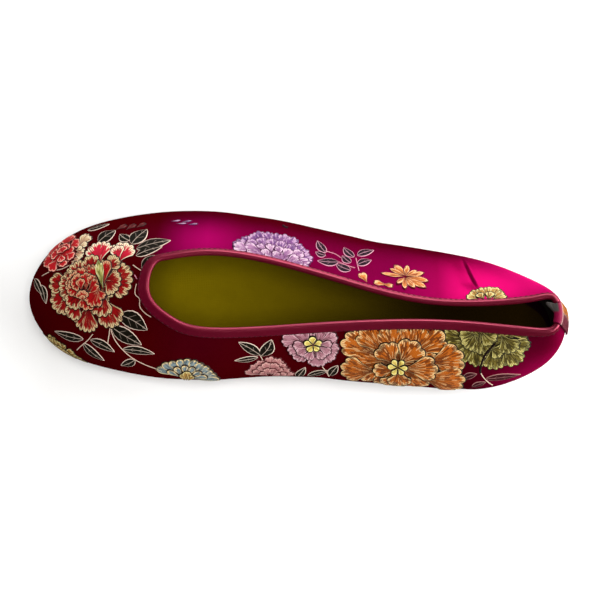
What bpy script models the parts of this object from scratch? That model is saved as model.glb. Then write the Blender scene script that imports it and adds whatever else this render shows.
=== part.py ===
"""Right brocade ballet flat: outsole, upper, insole, collar binding and back strip.

Metres, +Z up. The toe points along -X, the outer (lateral) side is +Y, and the floor is z = 0.
The upper is one function of two parameters: `around` runs along the outline from the back of the
heel, and `climb` runs up the wall: -2 margin edge, -1 feather line, 0 widest line, 1 collar edge.
"""

import math
from collections import namedtuple

import bmesh
import bpy
import numpy as np

MM = 0.001

# Driving sizes of the shoe
SHOE_LENGTH = 241 * MM
BALL_WIDTH = 78 * MM
THROAT_HEIGHT = 42.5 * MM
BACK_HEIGHT = 53 * MM

# Upper: brocade, padding and lining together
WALL = 1.8 * MM
LASTING_MARGIN = 6 * MM
GAP = 0.3 * MM

# Collar binding, back strip and insole
BINDING_DEPTH = 3 * MM
BINDING_TAPE = 0.4 * MM
STRIP_WIDTH = 10 * MM
STRIP_OUTSIDE = 24 * MM
STRIP_INSIDE = 9 * MM
STRIP_TAPE = 0.9 * MM
INSOLE_THICKNESS = 3 * MM
INSOLE_EDGE_ROUND = 0.9 * MM

# Outsole: thin under the forefoot, with a low heel
SOLE_THICKNESS = 4 * MM
HEEL_RISE = 5 * MM
TOE_SPRING = 5.5 * MM
WAIST_LIFT = 3 * MM
SOLE_OVERHANG = 0.9 * MM
SOLE_SIDE_ROUND = 0.6 * MM

# Where the sole changes along the shoe, as shares of the length from the middle, toe negative
TOE_TIP_AT = -0.5
TREAD_FRONT_AT = -0.26
TREAD_BACK_AT = -0.05
WAIST_AT = 0.06
BREAST_TOP_AT = 0.222
BREAST_FOOT_AT = 0.238
HEEL_SEAT_AT = 0.30

# Facets
COLUMNS = 80
BACK_COLUMNS = 3
FEATHER_CLIMBS = (-2, -1, -0.74, -0.48, -0.22, 0)
WALL_ROWS = 6
CROWN_POINTS = 5
STATION_STEP = 7 * MM
DENSE = 48
NUDGE = 1e-3

# One row for each wall section, going round from the back of the heel by the lateral side.
# along and across place the widest line, collar_along and collar_across the collar edge, as shares
# of SHOE_LENGTH and BALL_WIDTH. collar_rise is 0 at THROAT_HEIGHT and 1 at BACK_HEIGHT.
# feather is how far the sole line lies inside the widest line, and lift how far below it, in mm.
# shoulder, tuck and drop shape the wall from the widest line to the collar.
Section = namedtuple(
    "Section",
    "place along across collar_along collar_across collar_rise feather lift shoulder tuck drop",
)
SECTIONS = (
    Section("heel_back", 0.500, -0.100, 0.470, -0.088, 1.00, 6.0, 13.5, 0.42, 0.42, 0.34),
    Section("heel_lateral_curve", 0.483, 0.056, 0.460, 0.012, 0.93, 6.0, 13.2, 0.42, 0.41, 0.33),
    Section("heel_lateral_corner", 0.431, 0.166, 0.423, 0.010, 0.79, 6.0, 12.5, 0.43, 0.38, 0.31),
    Section("heel_lateral", 0.356, 0.254, 0.356, -0.017, 0.52, 6.0, 11.5, 0.44, 0.35, 0.30),
    Section("counter_lateral", 0.240, 0.320, 0.240, -0.018, 0.12, 6.5, 10.0, 0.45, 0.32, 0.28),
    Section("waist_lateral", 0.083, 0.401, 0.084, 0.083, -0.19, 7.5, 9.0, 0.45, 0.34, 0.28),
    Section("arch_lateral", -0.056, 0.482, -0.053, 0.184, -0.24, 7.0, 9.0, 0.44, 0.38, 0.30),
    Section("ball_lateral", -0.194, 0.509, -0.158, 0.214, -0.14, 6.0, 9.0, 0.42, 0.42, 0.33),
    Section("toe_lateral", -0.341, 0.445, -0.232, 0.178, -0.05, 6.0, 8.5, 0.43, 0.50, 0.34),
    Section("toe_lateral_corner", -0.449, 0.284, -0.263, 0.130, -0.01, 5.5, 7.8, 0.46, 0.56, 0.36),
    Section("toe_tip", -0.500, -0.076, -0.272, -0.017, 0.00, 5.5, 7.5, 0.48, 0.58, 0.36),
    Section("toe_medial_corner", -0.436, -0.345, -0.254, -0.119, -0.01, 5.5, 7.8, 0.46, 0.56, 0.36),
    Section("toe_medial", -0.337, -0.446, -0.223, -0.188, -0.05, 6.0, 8.5, 0.43, 0.50, 0.34),
    Section("ball_medial", -0.183, -0.490, -0.156, -0.242, -0.14, 6.5, 9.0, 0.42, 0.42, 0.33),
    Section("arch_medial", -0.043, -0.450, -0.035, -0.215, -0.24, 9.0, 9.5, 0.44, 0.38, 0.30),
    Section("waist_medial", 0.112, -0.462, 0.098, -0.172, -0.16, 10.5, 10.0, 0.45, 0.34, 0.28),
    Section("counter_medial", 0.240, -0.480, 0.240, -0.150, 0.12, 8.5, 10.5, 0.45, 0.32, 0.28),
    Section("heel_medial", 0.356, -0.477, 0.356, -0.167, 0.52, 6.5, 11.5, 0.44, 0.35, 0.30),
    Section("heel_medial_corner", 0.431, -0.396, 0.423, -0.187, 0.79, 6.0, 12.5, 0.43, 0.38, 0.31),
    Section("heel_medial_curve", 0.483, -0.269, 0.460, -0.174, 0.93, 6.0, 13.2, 0.42, 0.41, 0.33),
)

# sRGB colours, roughness and metallic value of each piece
Finish = namedtuple("Finish", "red green blue roughness metallic")
SATIN = Finish(0.50, 0.02, 0.18, 0.42, 0.0)
TAPE = Finish(0.42, 0.03, 0.16, 0.70, 0.0)
YELLOW_SOCK = Finish(0.58, 0.52, 0.12, 0.75, 0.0)
GOLD_BROCADE = Finish(0.66, 0.42, 0.10, 0.50, 0.0)
BROWN_RUBBER = Finish(0.20, 0.13, 0.10, 0.80, 0.0)


def clear_scene():
    for thing in list(bpy.data.objects):
        bpy.data.objects.remove(thing)


# Closed smooth curves through the section rows


def ring_spline(knots, period, values):
    """Periodic cubic spline through values at knots, as a function of the distance round the ring."""
    spans = np.diff(np.append(knots, period))
    slopes = (np.roll(values, -1, axis=0) - values) / spans[:, None]
    count = len(knots)
    system = np.zeros((count, count))
    for row in range(count):
        before, after = spans[row - 1], spans[row]
        system[row, row - 1] += before
        system[row, row] += 2 * (before + after)
        system[row, (row + 1) % count] += after
    bends = np.linalg.solve(system, 6 * (slopes - np.roll(slopes, 1, axis=0)))

    def at(around):
        place = np.mod(around, period)
        first = np.clip(np.searchsorted(knots, place, side="right") - 1, 0, count - 1)
        second = (first + 1) % count
        span = spans[first][..., None]
        share = (place - knots[first])[..., None] / span
        rest = 1 - share
        curve = (rest**3 - rest) * bends[first] + (share**3 - share) * bends[second]
        return rest * values[first] + share * values[second] + curve * span**2 / 6

    return at


def section_rows():
    """Columns of the section table in metres, with the outline's own middle moved to the origin."""
    rows = []
    for cut in SECTIONS:
        collar_z = THROAT_HEIGHT + cut.collar_rise * (BACK_HEIGHT - THROAT_HEIGHT)
        rows.append(
            (
                cut.along * SHOE_LENGTH,
                cut.across * BALL_WIDTH,
                cut.collar_along * SHOE_LENGTH,
                cut.collar_across * BALL_WIDTH,
                collar_z,
                cut.feather * MM,
                cut.lift * MM,
                cut.shoulder,
                cut.tuck,
                cut.drop,
            )
        )
    table = np.array(rows)
    steps = np.roll(table[:, :2], -1, axis=0) - table[:, :2]
    lengths = np.hypot(steps[:, 0], steps[:, 1])
    knots = np.concatenate([[0.0], np.cumsum(lengths)[:-1]])
    return knots, float(lengths.sum()), table


KNOTS, PERIMETER, TABLE = section_rows()
RAW_SECTION = ring_spline(KNOTS, PERIMETER, TABLE)
RAW_OUTLINE = RAW_SECTION(np.linspace(0, PERIMETER, COLUMNS * 8, endpoint=False))[:, :2]
MIDDLE = (RAW_OUTLINE.min(axis=0) + RAW_OUTLINE.max(axis=0)) / 2


def section(around):
    """Interpolated section row at a distance round the outline, centred on the origin."""
    row = RAW_SECTION(np.asarray(around, float))
    row[..., 0:2] -= MIDDLE
    row[..., 2:4] -= MIDDLE
    return row


def inward(around):
    """Horizontal unit vector from the outline towards the inside of the shoe."""
    ahead = RAW_SECTION(np.asarray(around) + NUDGE * MM)[..., :2]
    behind = RAW_SECTION(np.asarray(around) - NUDGE * MM)[..., :2]
    run = ahead - behind
    normal = np.stack([-run[..., 1], run[..., 0]], axis=-1)
    return normal / np.linalg.norm(normal, axis=-1, keepdims=True)


# Heights of the sole along the shoe


def ease(x, start, end):
    """0 before start, 1 after end, with a smooth S between them."""
    share = np.clip((x / SHOE_LENGTH - start) / (end - start), 0, 1)
    return share * share * (3 - 2 * share)


def toe_spring(x):
    share = np.clip((TREAD_FRONT_AT - x / SHOE_LENGTH) / (TREAD_FRONT_AT - TOE_TIP_AT), 0, 1)
    return TOE_SPRING * share**2


def sole_bottom(x):
    """Flat on the floor under the tread and the heel, lifted at the toe and under the waist."""
    waist = WAIST_LIFT * ease(x, TREAD_BACK_AT, WAIST_AT)
    heel = np.clip((BREAST_FOOT_AT - x / SHOE_LENGTH) / (BREAST_FOOT_AT - BREAST_TOP_AT), 0, 1)
    return toe_spring(x) + waist * heel


def sole_top(x):
    """The bed that the upper is lasted on: forefoot level, heel seat raised, toe sprung."""
    return SOLE_THICKNESS + HEEL_RISE * ease(x, TREAD_BACK_AT, HEEL_SEAT_AT) + toe_spring(x)


# The upper's own surface


def bezier(share, first, second):
    """Cubic from 0 to 1 with two inner control values."""
    rest = 1 - share
    return 3 * rest**2 * share * first + 3 * rest * share**2 * second + share**3


def surface(around, climb):
    """Points of the upper's outer face. around and climb are arrays that broadcast together."""
    around, climb = np.broadcast_arrays(np.asarray(around, float), np.asarray(climb, float))
    row = section(around)
    outline, collar = row[..., 0:2], row[..., 2:4]
    collar_z, feather, lift = row[..., 4], row[..., 5], row[..., 6]
    shoulder, tuck, drop = row[..., 7], row[..., 8], row[..., 9]
    turn = np.clip(climb + 1, 0, 1) * math.pi / 2
    inset = feather * (1 - np.sin(turn)) + np.clip(-1 - climb, 0, 1) * LASTING_MARGIN
    plan = outline + inward(around) * inset[..., None]
    base = sole_top(plan[..., 0]) + GAP + lift * (1 - np.cos(turn))
    rising = np.clip(climb, 0, 1)
    lean = bezier(rising, 0, 1 - tuck)
    rise = bezier(rising, shoulder, 1 - drop)
    plan = plan + (collar - outline) * lean[..., None]
    z = base + (collar_z - base) * rise
    return np.concatenate([plan, z[..., None]], axis=-1)


def unit(vectors):
    return vectors / np.linalg.norm(vectors, axis=-1, keepdims=True)


def upward(around, climb):
    """Unit tangent up the wall."""
    return unit(surface(around, np.minimum(climb + NUDGE, 1)) - surface(around, climb - NUDGE))


def outward(around, climb):
    """Unit normal of the outer face."""
    side = surface(around + NUDGE * MM, climb) - surface(around - NUDGE * MM, climb)
    return unit(np.cross(side, upward(around, climb)))


def shell(around, climb, offset):
    """The outer face moved out by offset, or in where offset is negative."""
    return surface(around, climb) + outward(around, climb) * offset


def climb_at_depth(around, depth):
    """climb at a distance below the collar edge, measured along the wall, for each around and depth."""
    climbs = np.linspace(1, 0, DENSE)
    found = np.empty(np.broadcast(around, depth).shape)
    wide_around = np.broadcast_to(around, found.shape)
    wide_depth = np.broadcast_to(depth, found.shape)
    for place in np.ndindex(found.shape):
        line = surface(wide_around[place], climbs)
        run = np.concatenate([[0], np.cumsum(np.linalg.norm(np.diff(line, axis=0), axis=1))])
        found[place] = np.interp(wide_depth[place], run, climbs)
    return found


def wall_length(around):
    """Distance along the wall from the collar edge down to the widest line."""
    line = surface(np.asarray(around)[..., None], np.linspace(0, 1, DENSE))
    return np.linalg.norm(np.diff(line, axis=-2), axis=-1).sum(axis=-1)


# Blender objects


def principled(name, finish):
    material = bpy.data.materials.new(name)
    material.use_nodes = True
    shader = material.node_tree.nodes["Principled BSDF"]
    shader.inputs["Base Color"].default_value = (finish.red, finish.green, finish.blue, 1)
    shader.inputs["Roughness"].default_value = finish.roughness
    shader.inputs["Metallic"].default_value = finish.metallic
    return material


def add_object(name, mesh, finish, parent):
    mesh.materials.append(principled(name, finish))
    mesh.shade_smooth()
    mesh.set_sharp_from_angle(angle=math.radians(40))
    thing = bpy.data.objects.new(name, mesh)
    thing.parent = parent
    bpy.context.scene.collection.objects.link(thing)
    return thing


def swept_mesh(name, loops, closed):
    """One closed body from a closed loop of points at each column, capped where it isn't a ring."""
    columns, points = loops.shape[:2]
    shape = bmesh.new()
    verts = [[shape.verts.new(point) for point in loop] for loop in loops]
    for column in range(columns if closed else columns - 1):
        here, there = verts[column], verts[(column + 1) % columns]
        for point in range(points):
            after = (point + 1) % points
            shape.faces.new((here[point], there[point], there[after], here[after]))
    if not closed:
        shape.faces.new(verts[0])
        shape.faces.new(reversed(verts[-1]))
    bmesh.ops.recalc_face_normals(shape, faces=shape.faces)
    mesh = bpy.data.meshes.new(name)
    shape.to_mesh(mesh)
    shape.free()
    return mesh


def plate_mesh(name, rings, levels, bottom, top):
    """A plate from rings of plan points, lowest first. levels runs from 0 at bottom(x) to 1 at top(x)."""
    shape = bmesh.new()
    verts = [[shape.verts.new((x, y, level)) for x, y in ring] for ring, level in zip(rings, levels)]
    count = len(verts[0])
    for lower, upper in zip(verts, verts[1:]):
        for column in range(count):
            after = (column + 1) % count
            shape.faces.new((lower[column], lower[after], upper[after], upper[column]))
    shape.faces.new(verts[0])
    shape.faces.new(verts[-1])
    for x in plate_stations():
        geometry = shape.verts[:] + shape.edges[:] + shape.faces[:]
        bmesh.ops.bisect_plane(shape, geom=geometry, plane_co=(x, 0, 0), plane_no=(1, 0, 0))
    stations = np.array(plate_stations())
    for vert in shape.verts:
        low, high = (float(np.interp(vert.co.x, stations, line(stations))) for line in (bottom, top))
        vert.co.z = low + vert.co.z * (high - low)
    bmesh.ops.recalc_face_normals(shape, faces=shape.faces)
    mesh = bpy.data.meshes.new(name)
    shape.to_mesh(mesh)
    shape.free()
    return mesh


def plate_stations():
    """Cuts across the shoe where its length is folded, with the sole's own corners among them."""
    corners = [TREAD_FRONT_AT, TREAD_BACK_AT, BREAST_TOP_AT, BREAST_FOOT_AT]
    marks = [share * SHOE_LENGTH for share in corners]
    count = round(SHOE_LENGTH / STATION_STEP)
    even = [SHOE_LENGTH * (step / count - 0.5) for step in range(count + 1)]
    near = STATION_STEP / 2
    return sorted(marks + [x for x in even if all(abs(x - mark) > near for mark in marks)])


# The pieces


def column_places():
    """Even columns round the outline, twice as close at the back where the collar bends most."""
    step = PERIMETER / COLUMNS
    back = np.mod((np.arange(2 * BACK_COLUMNS) - BACK_COLUMNS + 0.5) * step, PERIMETER)
    return np.sort(np.concatenate([np.arange(COLUMNS) * step, back]))


def wall_climbs(around):
    """Rows of climb from the margin's edge to the collar, with rows that fit the binding's depth."""
    lower = np.tile(FEATHER_CLIMBS, (len(around), 1))
    free = wall_length(around) - BINDING_DEPTH
    shares = np.arange(WALL_ROWS - 1, -1, -1) / WALL_ROWS
    depths = BINDING_DEPTH + free[:, None] * shares
    upper = climb_at_depth(around[:, None], depths)
    edge = climb_at_depth(around[:, None], np.array([BINDING_DEPTH / 2, 0]))
    return np.concatenate([lower, upper, edge], axis=1)


def make_upper(parent):
    """One hollow wall, open at the collar and under the foot, with its margin turned in."""
    around = column_places()
    climbs = wall_climbs(around)
    outer = shell(around[:, None], climbs, 0)
    inner = shell(around[:, None], climbs, -WALL)
    loops = np.concatenate([outer, inner[:, ::-1]], axis=1)
    return add_object("upper", swept_mesh("upper", loops, closed=True), SATIN, parent)


def folded_tape(around_out, depths_out, around_in, depths_in, tape):
    """Loops of a tape folded over the collar edge, with a place round the shoe at each column and depth."""
    climb_out = climb_at_depth(around_out, depths_out)
    climb_in = climb_at_depth(around_in, depths_in)
    edge = around_in[:, :1]
    top = np.ones_like(edge)
    normal, up = outward(edge, top), upward(edge, top)
    centre = shell(edge, top, -WALL / 2)
    angles = np.linspace(0, math.pi, CROWN_POINTS)[1:-1, None]
    crown = centre + (WALL / 2 + GAP + tape) * (np.cos(angles) * normal + np.sin(angles) * up)
    parts = [
        shell(around_out, climb_out, GAP + tape),
        crown,
        shell(around_in, climb_in, -WALL - GAP - tape),
        shell(around_in, climb_in, -WALL - GAP)[:, :0:-1],
        shell(edge, top, -WALL - GAP) + up * GAP,
        shell(edge, top, GAP) + up * GAP,
        shell(around_out, climb_out, GAP)[:, -2::-1],
    ]
    return np.concatenate(parts, axis=1)


def strip_reach(depths):
    """How far round the back the strip reaches from the middle at each depth below the collar."""
    climb = climb_at_depth(np.array(0.0), depths)
    side = surface(NUDGE * MM, climb) - surface(-NUDGE * MM, climb)
    return STRIP_WIDTH / 2 / (np.linalg.norm(side, axis=-1) / (2 * NUDGE * MM))


def make_collar_binding(parent):
    """Tape folded over the collar all the way round, from one edge of the back strip to the other."""
    depths = np.linspace(0, BINDING_DEPTH, 3)
    start = strip_reach(depths)[0] + 2 * GAP
    columns = column_places()
    between = columns[(columns > start + GAP) & (columns < PERIMETER - start - GAP)]
    places = np.concatenate([[start], between, [PERIMETER - start]])
    around = np.repeat(places[:, None], len(depths), axis=1)
    loops = folded_tape(around, depths[::-1], around, depths, BINDING_TAPE)
    return add_object("collar_binding", swept_mesh("collar_binding", loops, closed=False), TAPE, parent)


def make_back_strip(parent):
    """Strip over the back seam, folded over the collar where the two ends of the binding meet."""
    outside = np.linspace(STRIP_OUTSIDE, 0, 6)
    inside = np.linspace(0, STRIP_INSIDE, 3)
    shares = np.linspace(-1, 1, 5)[:, None]
    reach_out, reach_in = shares * strip_reach(outside), shares * strip_reach(inside)
    loops = folded_tape(reach_out, outside, reach_in, inside, STRIP_TAPE)
    return add_object("back_strip", swept_mesh("back_strip", loops, closed=False), GOLD_BROCADE, parent)


def sole_ring(around, beyond):
    """Plan points that lie beyond the feather line, out towards the widest line."""
    row = section(around)
    return row[:, 0:2] + inward(around) * (row[:, 5] - beyond)[:, None]


def make_outsole(parent):
    """Thin moulded sole with a low heel, an arch under the waist and a sprung toe."""
    around = column_places()
    reaches = [SOLE_OVERHANG - SOLE_SIDE_ROUND, SOLE_OVERHANG, SOLE_OVERHANG, SOLE_OVERHANG / 2]
    rings = [sole_ring(around, reach) for reach in reaches]
    mesh = plate_mesh("outsole", rings, [0, 0.2, 0.8, 1], sole_bottom, sole_top)
    return add_object("outsole", mesh, BROWN_RUBBER, parent)


def insole_ring(around, height):
    """Plan points just inside the upper's inner facets at a height over the lasting margin."""
    inner = shell(around[:, None], np.array(FEATHER_CLIMBS[1:]), -WALL)
    margin_top = sole_top(inner[..., 0]) + GAP + WALL
    above = inner[..., 2] - margin_top
    ring = np.empty((len(around), 2))
    for column in range(len(around)):
        for axis in range(2):
            ring[column, axis] = np.interp(height, above[column], inner[column, :, axis])
    return ring + inward(around) * 2 * GAP


def insole_bottom(x):
    return sole_top(x) + WALL + 2 * GAP


def insole_top(x):
    return insole_bottom(x) + INSOLE_THICKNESS


def make_insole(parent):
    """Footbed that lies on the turned-in margin and fills the upper from wall to wall."""
    around = column_places()
    levels = [0, 0.35, 0.75, 1]
    rings = [insole_ring(around, GAP + level * INSOLE_THICKNESS) for level in levels]
    rings[-1] = rings[-2] + inward(around) * INSOLE_EDGE_ROUND
    mesh = plate_mesh("insole", rings, levels, insole_bottom, insole_top)
    return add_object("insole", mesh, YELLOW_SOCK, parent)


def main():
    clear_scene()
    shoe = bpy.data.objects.new("ballet_flat", None)
    bpy.context.scene.collection.objects.link(shoe)
    make_outsole(shoe)
    make_upper(shoe)
    make_insole(shoe)
    make_collar_binding(shoe)
    make_back_strip(shoe)


main()
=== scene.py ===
import math
from functools import partial

import bpy
import numpy as np
from mathutils import Matrix


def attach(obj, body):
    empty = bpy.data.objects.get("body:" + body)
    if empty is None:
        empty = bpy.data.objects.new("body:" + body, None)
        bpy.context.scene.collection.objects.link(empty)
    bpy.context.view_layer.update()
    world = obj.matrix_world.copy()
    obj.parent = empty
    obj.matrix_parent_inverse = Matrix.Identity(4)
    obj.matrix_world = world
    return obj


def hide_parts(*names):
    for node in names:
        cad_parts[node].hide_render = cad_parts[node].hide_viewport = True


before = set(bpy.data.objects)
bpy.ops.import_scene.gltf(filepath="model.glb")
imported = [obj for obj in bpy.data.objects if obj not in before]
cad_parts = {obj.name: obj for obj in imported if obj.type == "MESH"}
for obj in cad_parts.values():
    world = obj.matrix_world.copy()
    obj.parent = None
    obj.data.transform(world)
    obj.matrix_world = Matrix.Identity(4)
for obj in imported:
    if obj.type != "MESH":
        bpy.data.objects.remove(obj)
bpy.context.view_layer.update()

# Everything below is worked out in millimetres and written to the meshes in metres.
# Toe along -X, outer side +Y, floor z = 0. around runs along the outline from the back of the heel,
# climb runs up the wall: -2 margin edge, -1 feather line, 0 widest line, 1 collar edge.

toMetres = 0.001
nudge = 0.001  # a small step round the shoe or up the wall, for slopes

shoe = {
    "length": 241, "ballWidth": 78, "throatHeight": 42.5, "backHeight": 53,
    "wall": 1.8, "lastingMargin": 6, "gap": 0.3,
    "soleThickness": 4, "heelRise": 5, "toeSpring": 5.5, "waistLift": 3,
    "toeTip": -0.5, "treadFront": -0.26, "treadBack": -0.05, "waist": 0.06,
    "breastTop": 0.222, "breastFoot": 0.238, "heelSeat": 0.30,
    "outlineSteps": 640, "clothRise": 30,  # mm of weave for a climb of 1
}

# along, across, collarAlong, collarAcross (shares of length and ball width), collarRise (0 throat, 1 back),
# feather, lift (mm inside and below the widest line), shoulder, tuck, drop (shape of the wall)
sections = np.array([
    (0.500, -0.100, 0.470, -0.088, 1.00, 6.0, 13.5, 0.42, 0.42, 0.34),
    (0.483, 0.056, 0.460, 0.012, 0.93, 6.0, 13.2, 0.42, 0.41, 0.33),
    (0.431, 0.166, 0.423, 0.010, 0.79, 6.0, 12.5, 0.43, 0.38, 0.31),
    (0.356, 0.254, 0.356, -0.017, 0.52, 6.0, 11.5, 0.44, 0.35, 0.30),
    (0.240, 0.320, 0.240, -0.018, 0.12, 6.5, 10.0, 0.45, 0.32, 0.28),
    (0.083, 0.401, 0.084, 0.083, -0.19, 7.5, 9.0, 0.45, 0.34, 0.28),
    (-0.056, 0.482, -0.053, 0.184, -0.24, 7.0, 9.0, 0.44, 0.38, 0.30),
    (-0.194, 0.509, -0.158, 0.214, -0.14, 6.0, 9.0, 0.42, 0.42, 0.33),
    (-0.341, 0.445, -0.232, 0.178, -0.05, 6.0, 8.5, 0.43, 0.50, 0.34),
    (-0.449, 0.284, -0.263, 0.130, -0.01, 5.5, 7.8, 0.46, 0.56, 0.36),
    (-0.500, -0.076, -0.272, -0.017, 0.00, 5.5, 7.5, 0.48, 0.58, 0.36),
    (-0.436, -0.345, -0.254, -0.119, -0.01, 5.5, 7.8, 0.46, 0.56, 0.36),
    (-0.337, -0.446, -0.223, -0.188, -0.05, 6.0, 8.5, 0.43, 0.50, 0.34),
    (-0.183, -0.490, -0.156, -0.242, -0.14, 6.5, 9.0, 0.42, 0.42, 0.33),
    (-0.043, -0.450, -0.035, -0.215, -0.24, 9.0, 9.5, 0.44, 0.38, 0.30),
    (0.112, -0.462, 0.098, -0.172, -0.16, 10.5, 10.0, 0.45, 0.34, 0.28),
    (0.240, -0.480, 0.240, -0.150, 0.12, 8.5, 10.5, 0.45, 0.32, 0.28),
    (0.356, -0.477, 0.356, -0.167, 0.52, 6.5, 11.5, 0.44, 0.35, 0.30),
    (0.431, -0.396, 0.423, -0.187, 0.79, 6.0, 12.5, 0.43, 0.38, 0.31),
    (0.483, -0.269, 0.460, -0.174, 0.93, 6.0, 13.2, 0.42, 0.41, 0.33),
])

# Soft troughs across the wall: side (1 outer, -1 inner), X at the sole and at the collar, half widths
# towards the toe and the heel, depth, climb at which it starts
creases = [
    (1, 73.1, 82.6, 5.0, 0.8, 1.1, 0.02),
    (1, 35.0, 41.0, 9.0, 9.0, 0.45, -0.8),
    (1, -22.0, -12.0, 10.0, 10.0, 0.35, -0.8),
    (-1, 74.0, 70.0, 4.0, 6.0, 0.4, -0.8),
    (-1, 12.0, 6.0, 9.0, 9.0, 0.4, -0.8),
    (-1, -48.0, -40.0, 9.0, 9.0, 0.35, -0.8),
]
creaseStart, creaseEnd = 0.4, (0.64, 0.84)  # climb in which a trough sets in, and where all of them end


def ringSpline(knots, period, values):
    # periodic cubic: the second derivatives solve the three-term system round the ring
    spans = np.diff(np.append(knots, period))
    before = np.roll(spans, 1)
    slopes = (np.roll(values, -1, axis=0) - values) / spans[:, None]
    one = np.eye(len(knots))
    system = np.diag(2 * (before + spans))
    system = system + before[:, None] * np.roll(one, -1, axis=1) + spans[:, None] * np.roll(one, 1, axis=1)
    bends = np.linalg.solve(system, 6 * (slopes - np.roll(slopes, 1, axis=0)))

    def at(around):
        place = np.mod(around, period)
        first = np.clip(np.searchsorted(knots, place, side="right") - 1, 0, len(knots) - 1)
        second = (first + 1) % len(knots)
        span = spans[first][..., None]
        share = (place - knots[first])[..., None] / span
        rest = 1 - share
        curve = (rest**3 - rest) * bends[first] + (share**3 - share) * bends[second]
        return rest * values[first] + share * values[second] + curve * span**2 / 6

    return at


table = sections * [shoe["length"], shoe["ballWidth"], shoe["length"], shoe["ballWidth"], 1, 1, 1, 1, 1, 1]
table[:, 4] = shoe["throatHeight"] + sections[:, 4] * (shoe["backHeight"] - shoe["throatHeight"])
chords = np.linalg.norm(np.roll(table[:, :2], -1, axis=0) - table[:, :2], axis=1)
perimeter = float(chords.sum())
rawSection = ringSpline(np.concatenate([[0], np.cumsum(chords)[:-1]]), perimeter, table)
rawOutline = rawSection(np.linspace(0, perimeter, shoe["outlineSteps"], endpoint=False))[:, :2]
middle = (rawOutline.min(axis=0) + rawOutline.max(axis=0)) / 2


def unit(arrows):
    # each arrow divided by its own length
    return arrows / np.linalg.norm(arrows, axis=-1, keepdims=True)


def smooth(x, start, end):
    # 0 before start, 1 after end, an S between
    share = np.clip((x - start) / (end - start), 0, 1)
    return share * share * (3 - 2 * share)


def section(around):
    # the ring's row at each place, its plan points measured from the middle of the outline
    row = rawSection(np.asarray(around, float))
    row[..., 0:2] -= middle
    row[..., 2:4] -= middle
    return row


def inward(around):
    # the outline's run turned left
    run = (rawSection(np.asarray(around) + nudge) - rawSection(np.asarray(around) - nudge))[..., :2]
    return unit(np.stack([-run[..., 1], run[..., 0]], axis=-1))


def toeSpring(x):
    # a parabola from the front of the tread to the tip of the toe
    share = (shoe["treadFront"] - x / shoe["length"]) / (shoe["treadFront"] - shoe["toeTip"])
    return shoe["toeSpring"] * np.clip(share, 0, 1) ** 2


def soleBottom(x):
    # the toe spring, and behind the tread an S up to the waist, which drops at the breast of the heel
    along = x / shoe["length"]
    heel = np.clip((shoe["breastFoot"] - along) / (shoe["breastFoot"] - shoe["breastTop"]), 0, 1)
    return toeSpring(x) + shoe["waistLift"] * smooth(along, shoe["treadBack"], shoe["waist"]) * heel


def soleTop(x):
    # the sole's thickness, the toe spring and an S up to the heel seat
    rise = shoe["heelRise"] * smooth(x / shoe["length"], shoe["treadBack"], shoe["heelSeat"])
    return shoe["soleThickness"] + rise + toeSpring(x)


def bezier(share, first, second):
    # a cubic from 0 to 1 with these two inner heights
    rest = 1 - share
    return 3 * rest**2 * share * first + 3 * rest * share**2 * second + share**3


def surface(around, climb):
    # quarter ellipse from the feather line to the widest line, then a cubic up to the collar,
    # carried straight on past it
    around, climb = np.broadcast_arrays(np.asarray(around, float), np.asarray(climb, float))
    row = section(around)
    outline, collar = row[..., 0:2], row[..., 2:4]
    collarHeight, feather, lift, shoulder, tuck, drop = np.moveaxis(row[..., 4:], -1, 0)
    turn = np.clip(climb + 1, 0, 1) * math.pi / 2
    inset = feather * (1 - np.sin(turn)) + np.clip(-1 - climb, 0, 1) * shoe["lastingMargin"]
    plan = outline + inward(around) * inset[..., None]
    base = soleTop(plan[..., 0]) + shoe["gap"] + lift * (1 - np.cos(turn))
    rising = np.clip(climb, 0, 1)
    past = np.maximum(climb - 1, 0)
    lean = bezier(rising, 0, 1 - tuck) + past * 3 * tuck
    rise = bezier(rising, shoulder, 1 - drop) + past * 3 * drop
    plan = plan + (collar - outline) * lean[..., None]
    z = base + (collarHeight - base) * rise
    return np.concatenate([plan, z[..., None]], axis=-1)


def upward(around, climb):
    # the run up the wall, from a small step each way
    return unit(surface(around, climb + nudge) - surface(around, climb - nudge))


def outward(around, climb):
    # the run round the shoe crossed with the run up the wall
    side = surface(around + nudge, climb) - surface(around - nudge, climb)
    return unit(np.cross(side, upward(around, climb)))


def fold(around, climb):
    # a bell-shaped trough along a slanted line, steeper on one side than on the other
    around, climb = np.broadcast_arrays(np.asarray(around, float), np.asarray(climb, float))
    along = section(around)[..., 0]
    outer = np.mod(around, perimeter) < perimeter * 0.5
    height = np.zeros(around.shape)
    for side, foot, top, toeWidth, heelWidth, depth, start in creases:
        away = along - foot - (top - foot) * np.clip(climb, 0, 1) ** 2
        trough = np.exp(-((away / np.where(away < 0, toeWidth, heelWidth)) ** 2))
        trough = trough * smooth(climb, start, start + creaseStart)
        height = height - np.where(outer == (side > 0), depth * trough, 0)
    return height * (1 - smooth(climb, *creaseEnd))


def skin(around, climb, relief=0):
    # the creased outer face of the cloth, raised by relief
    return surface(around, climb) + outward(around, climb) * (fold(around, climb) + relief)[..., None]


def shell(around, climb, offset):
    # the wall without creases, moved outwards
    return surface(around, climb) + outward(around, climb) * offset


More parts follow.
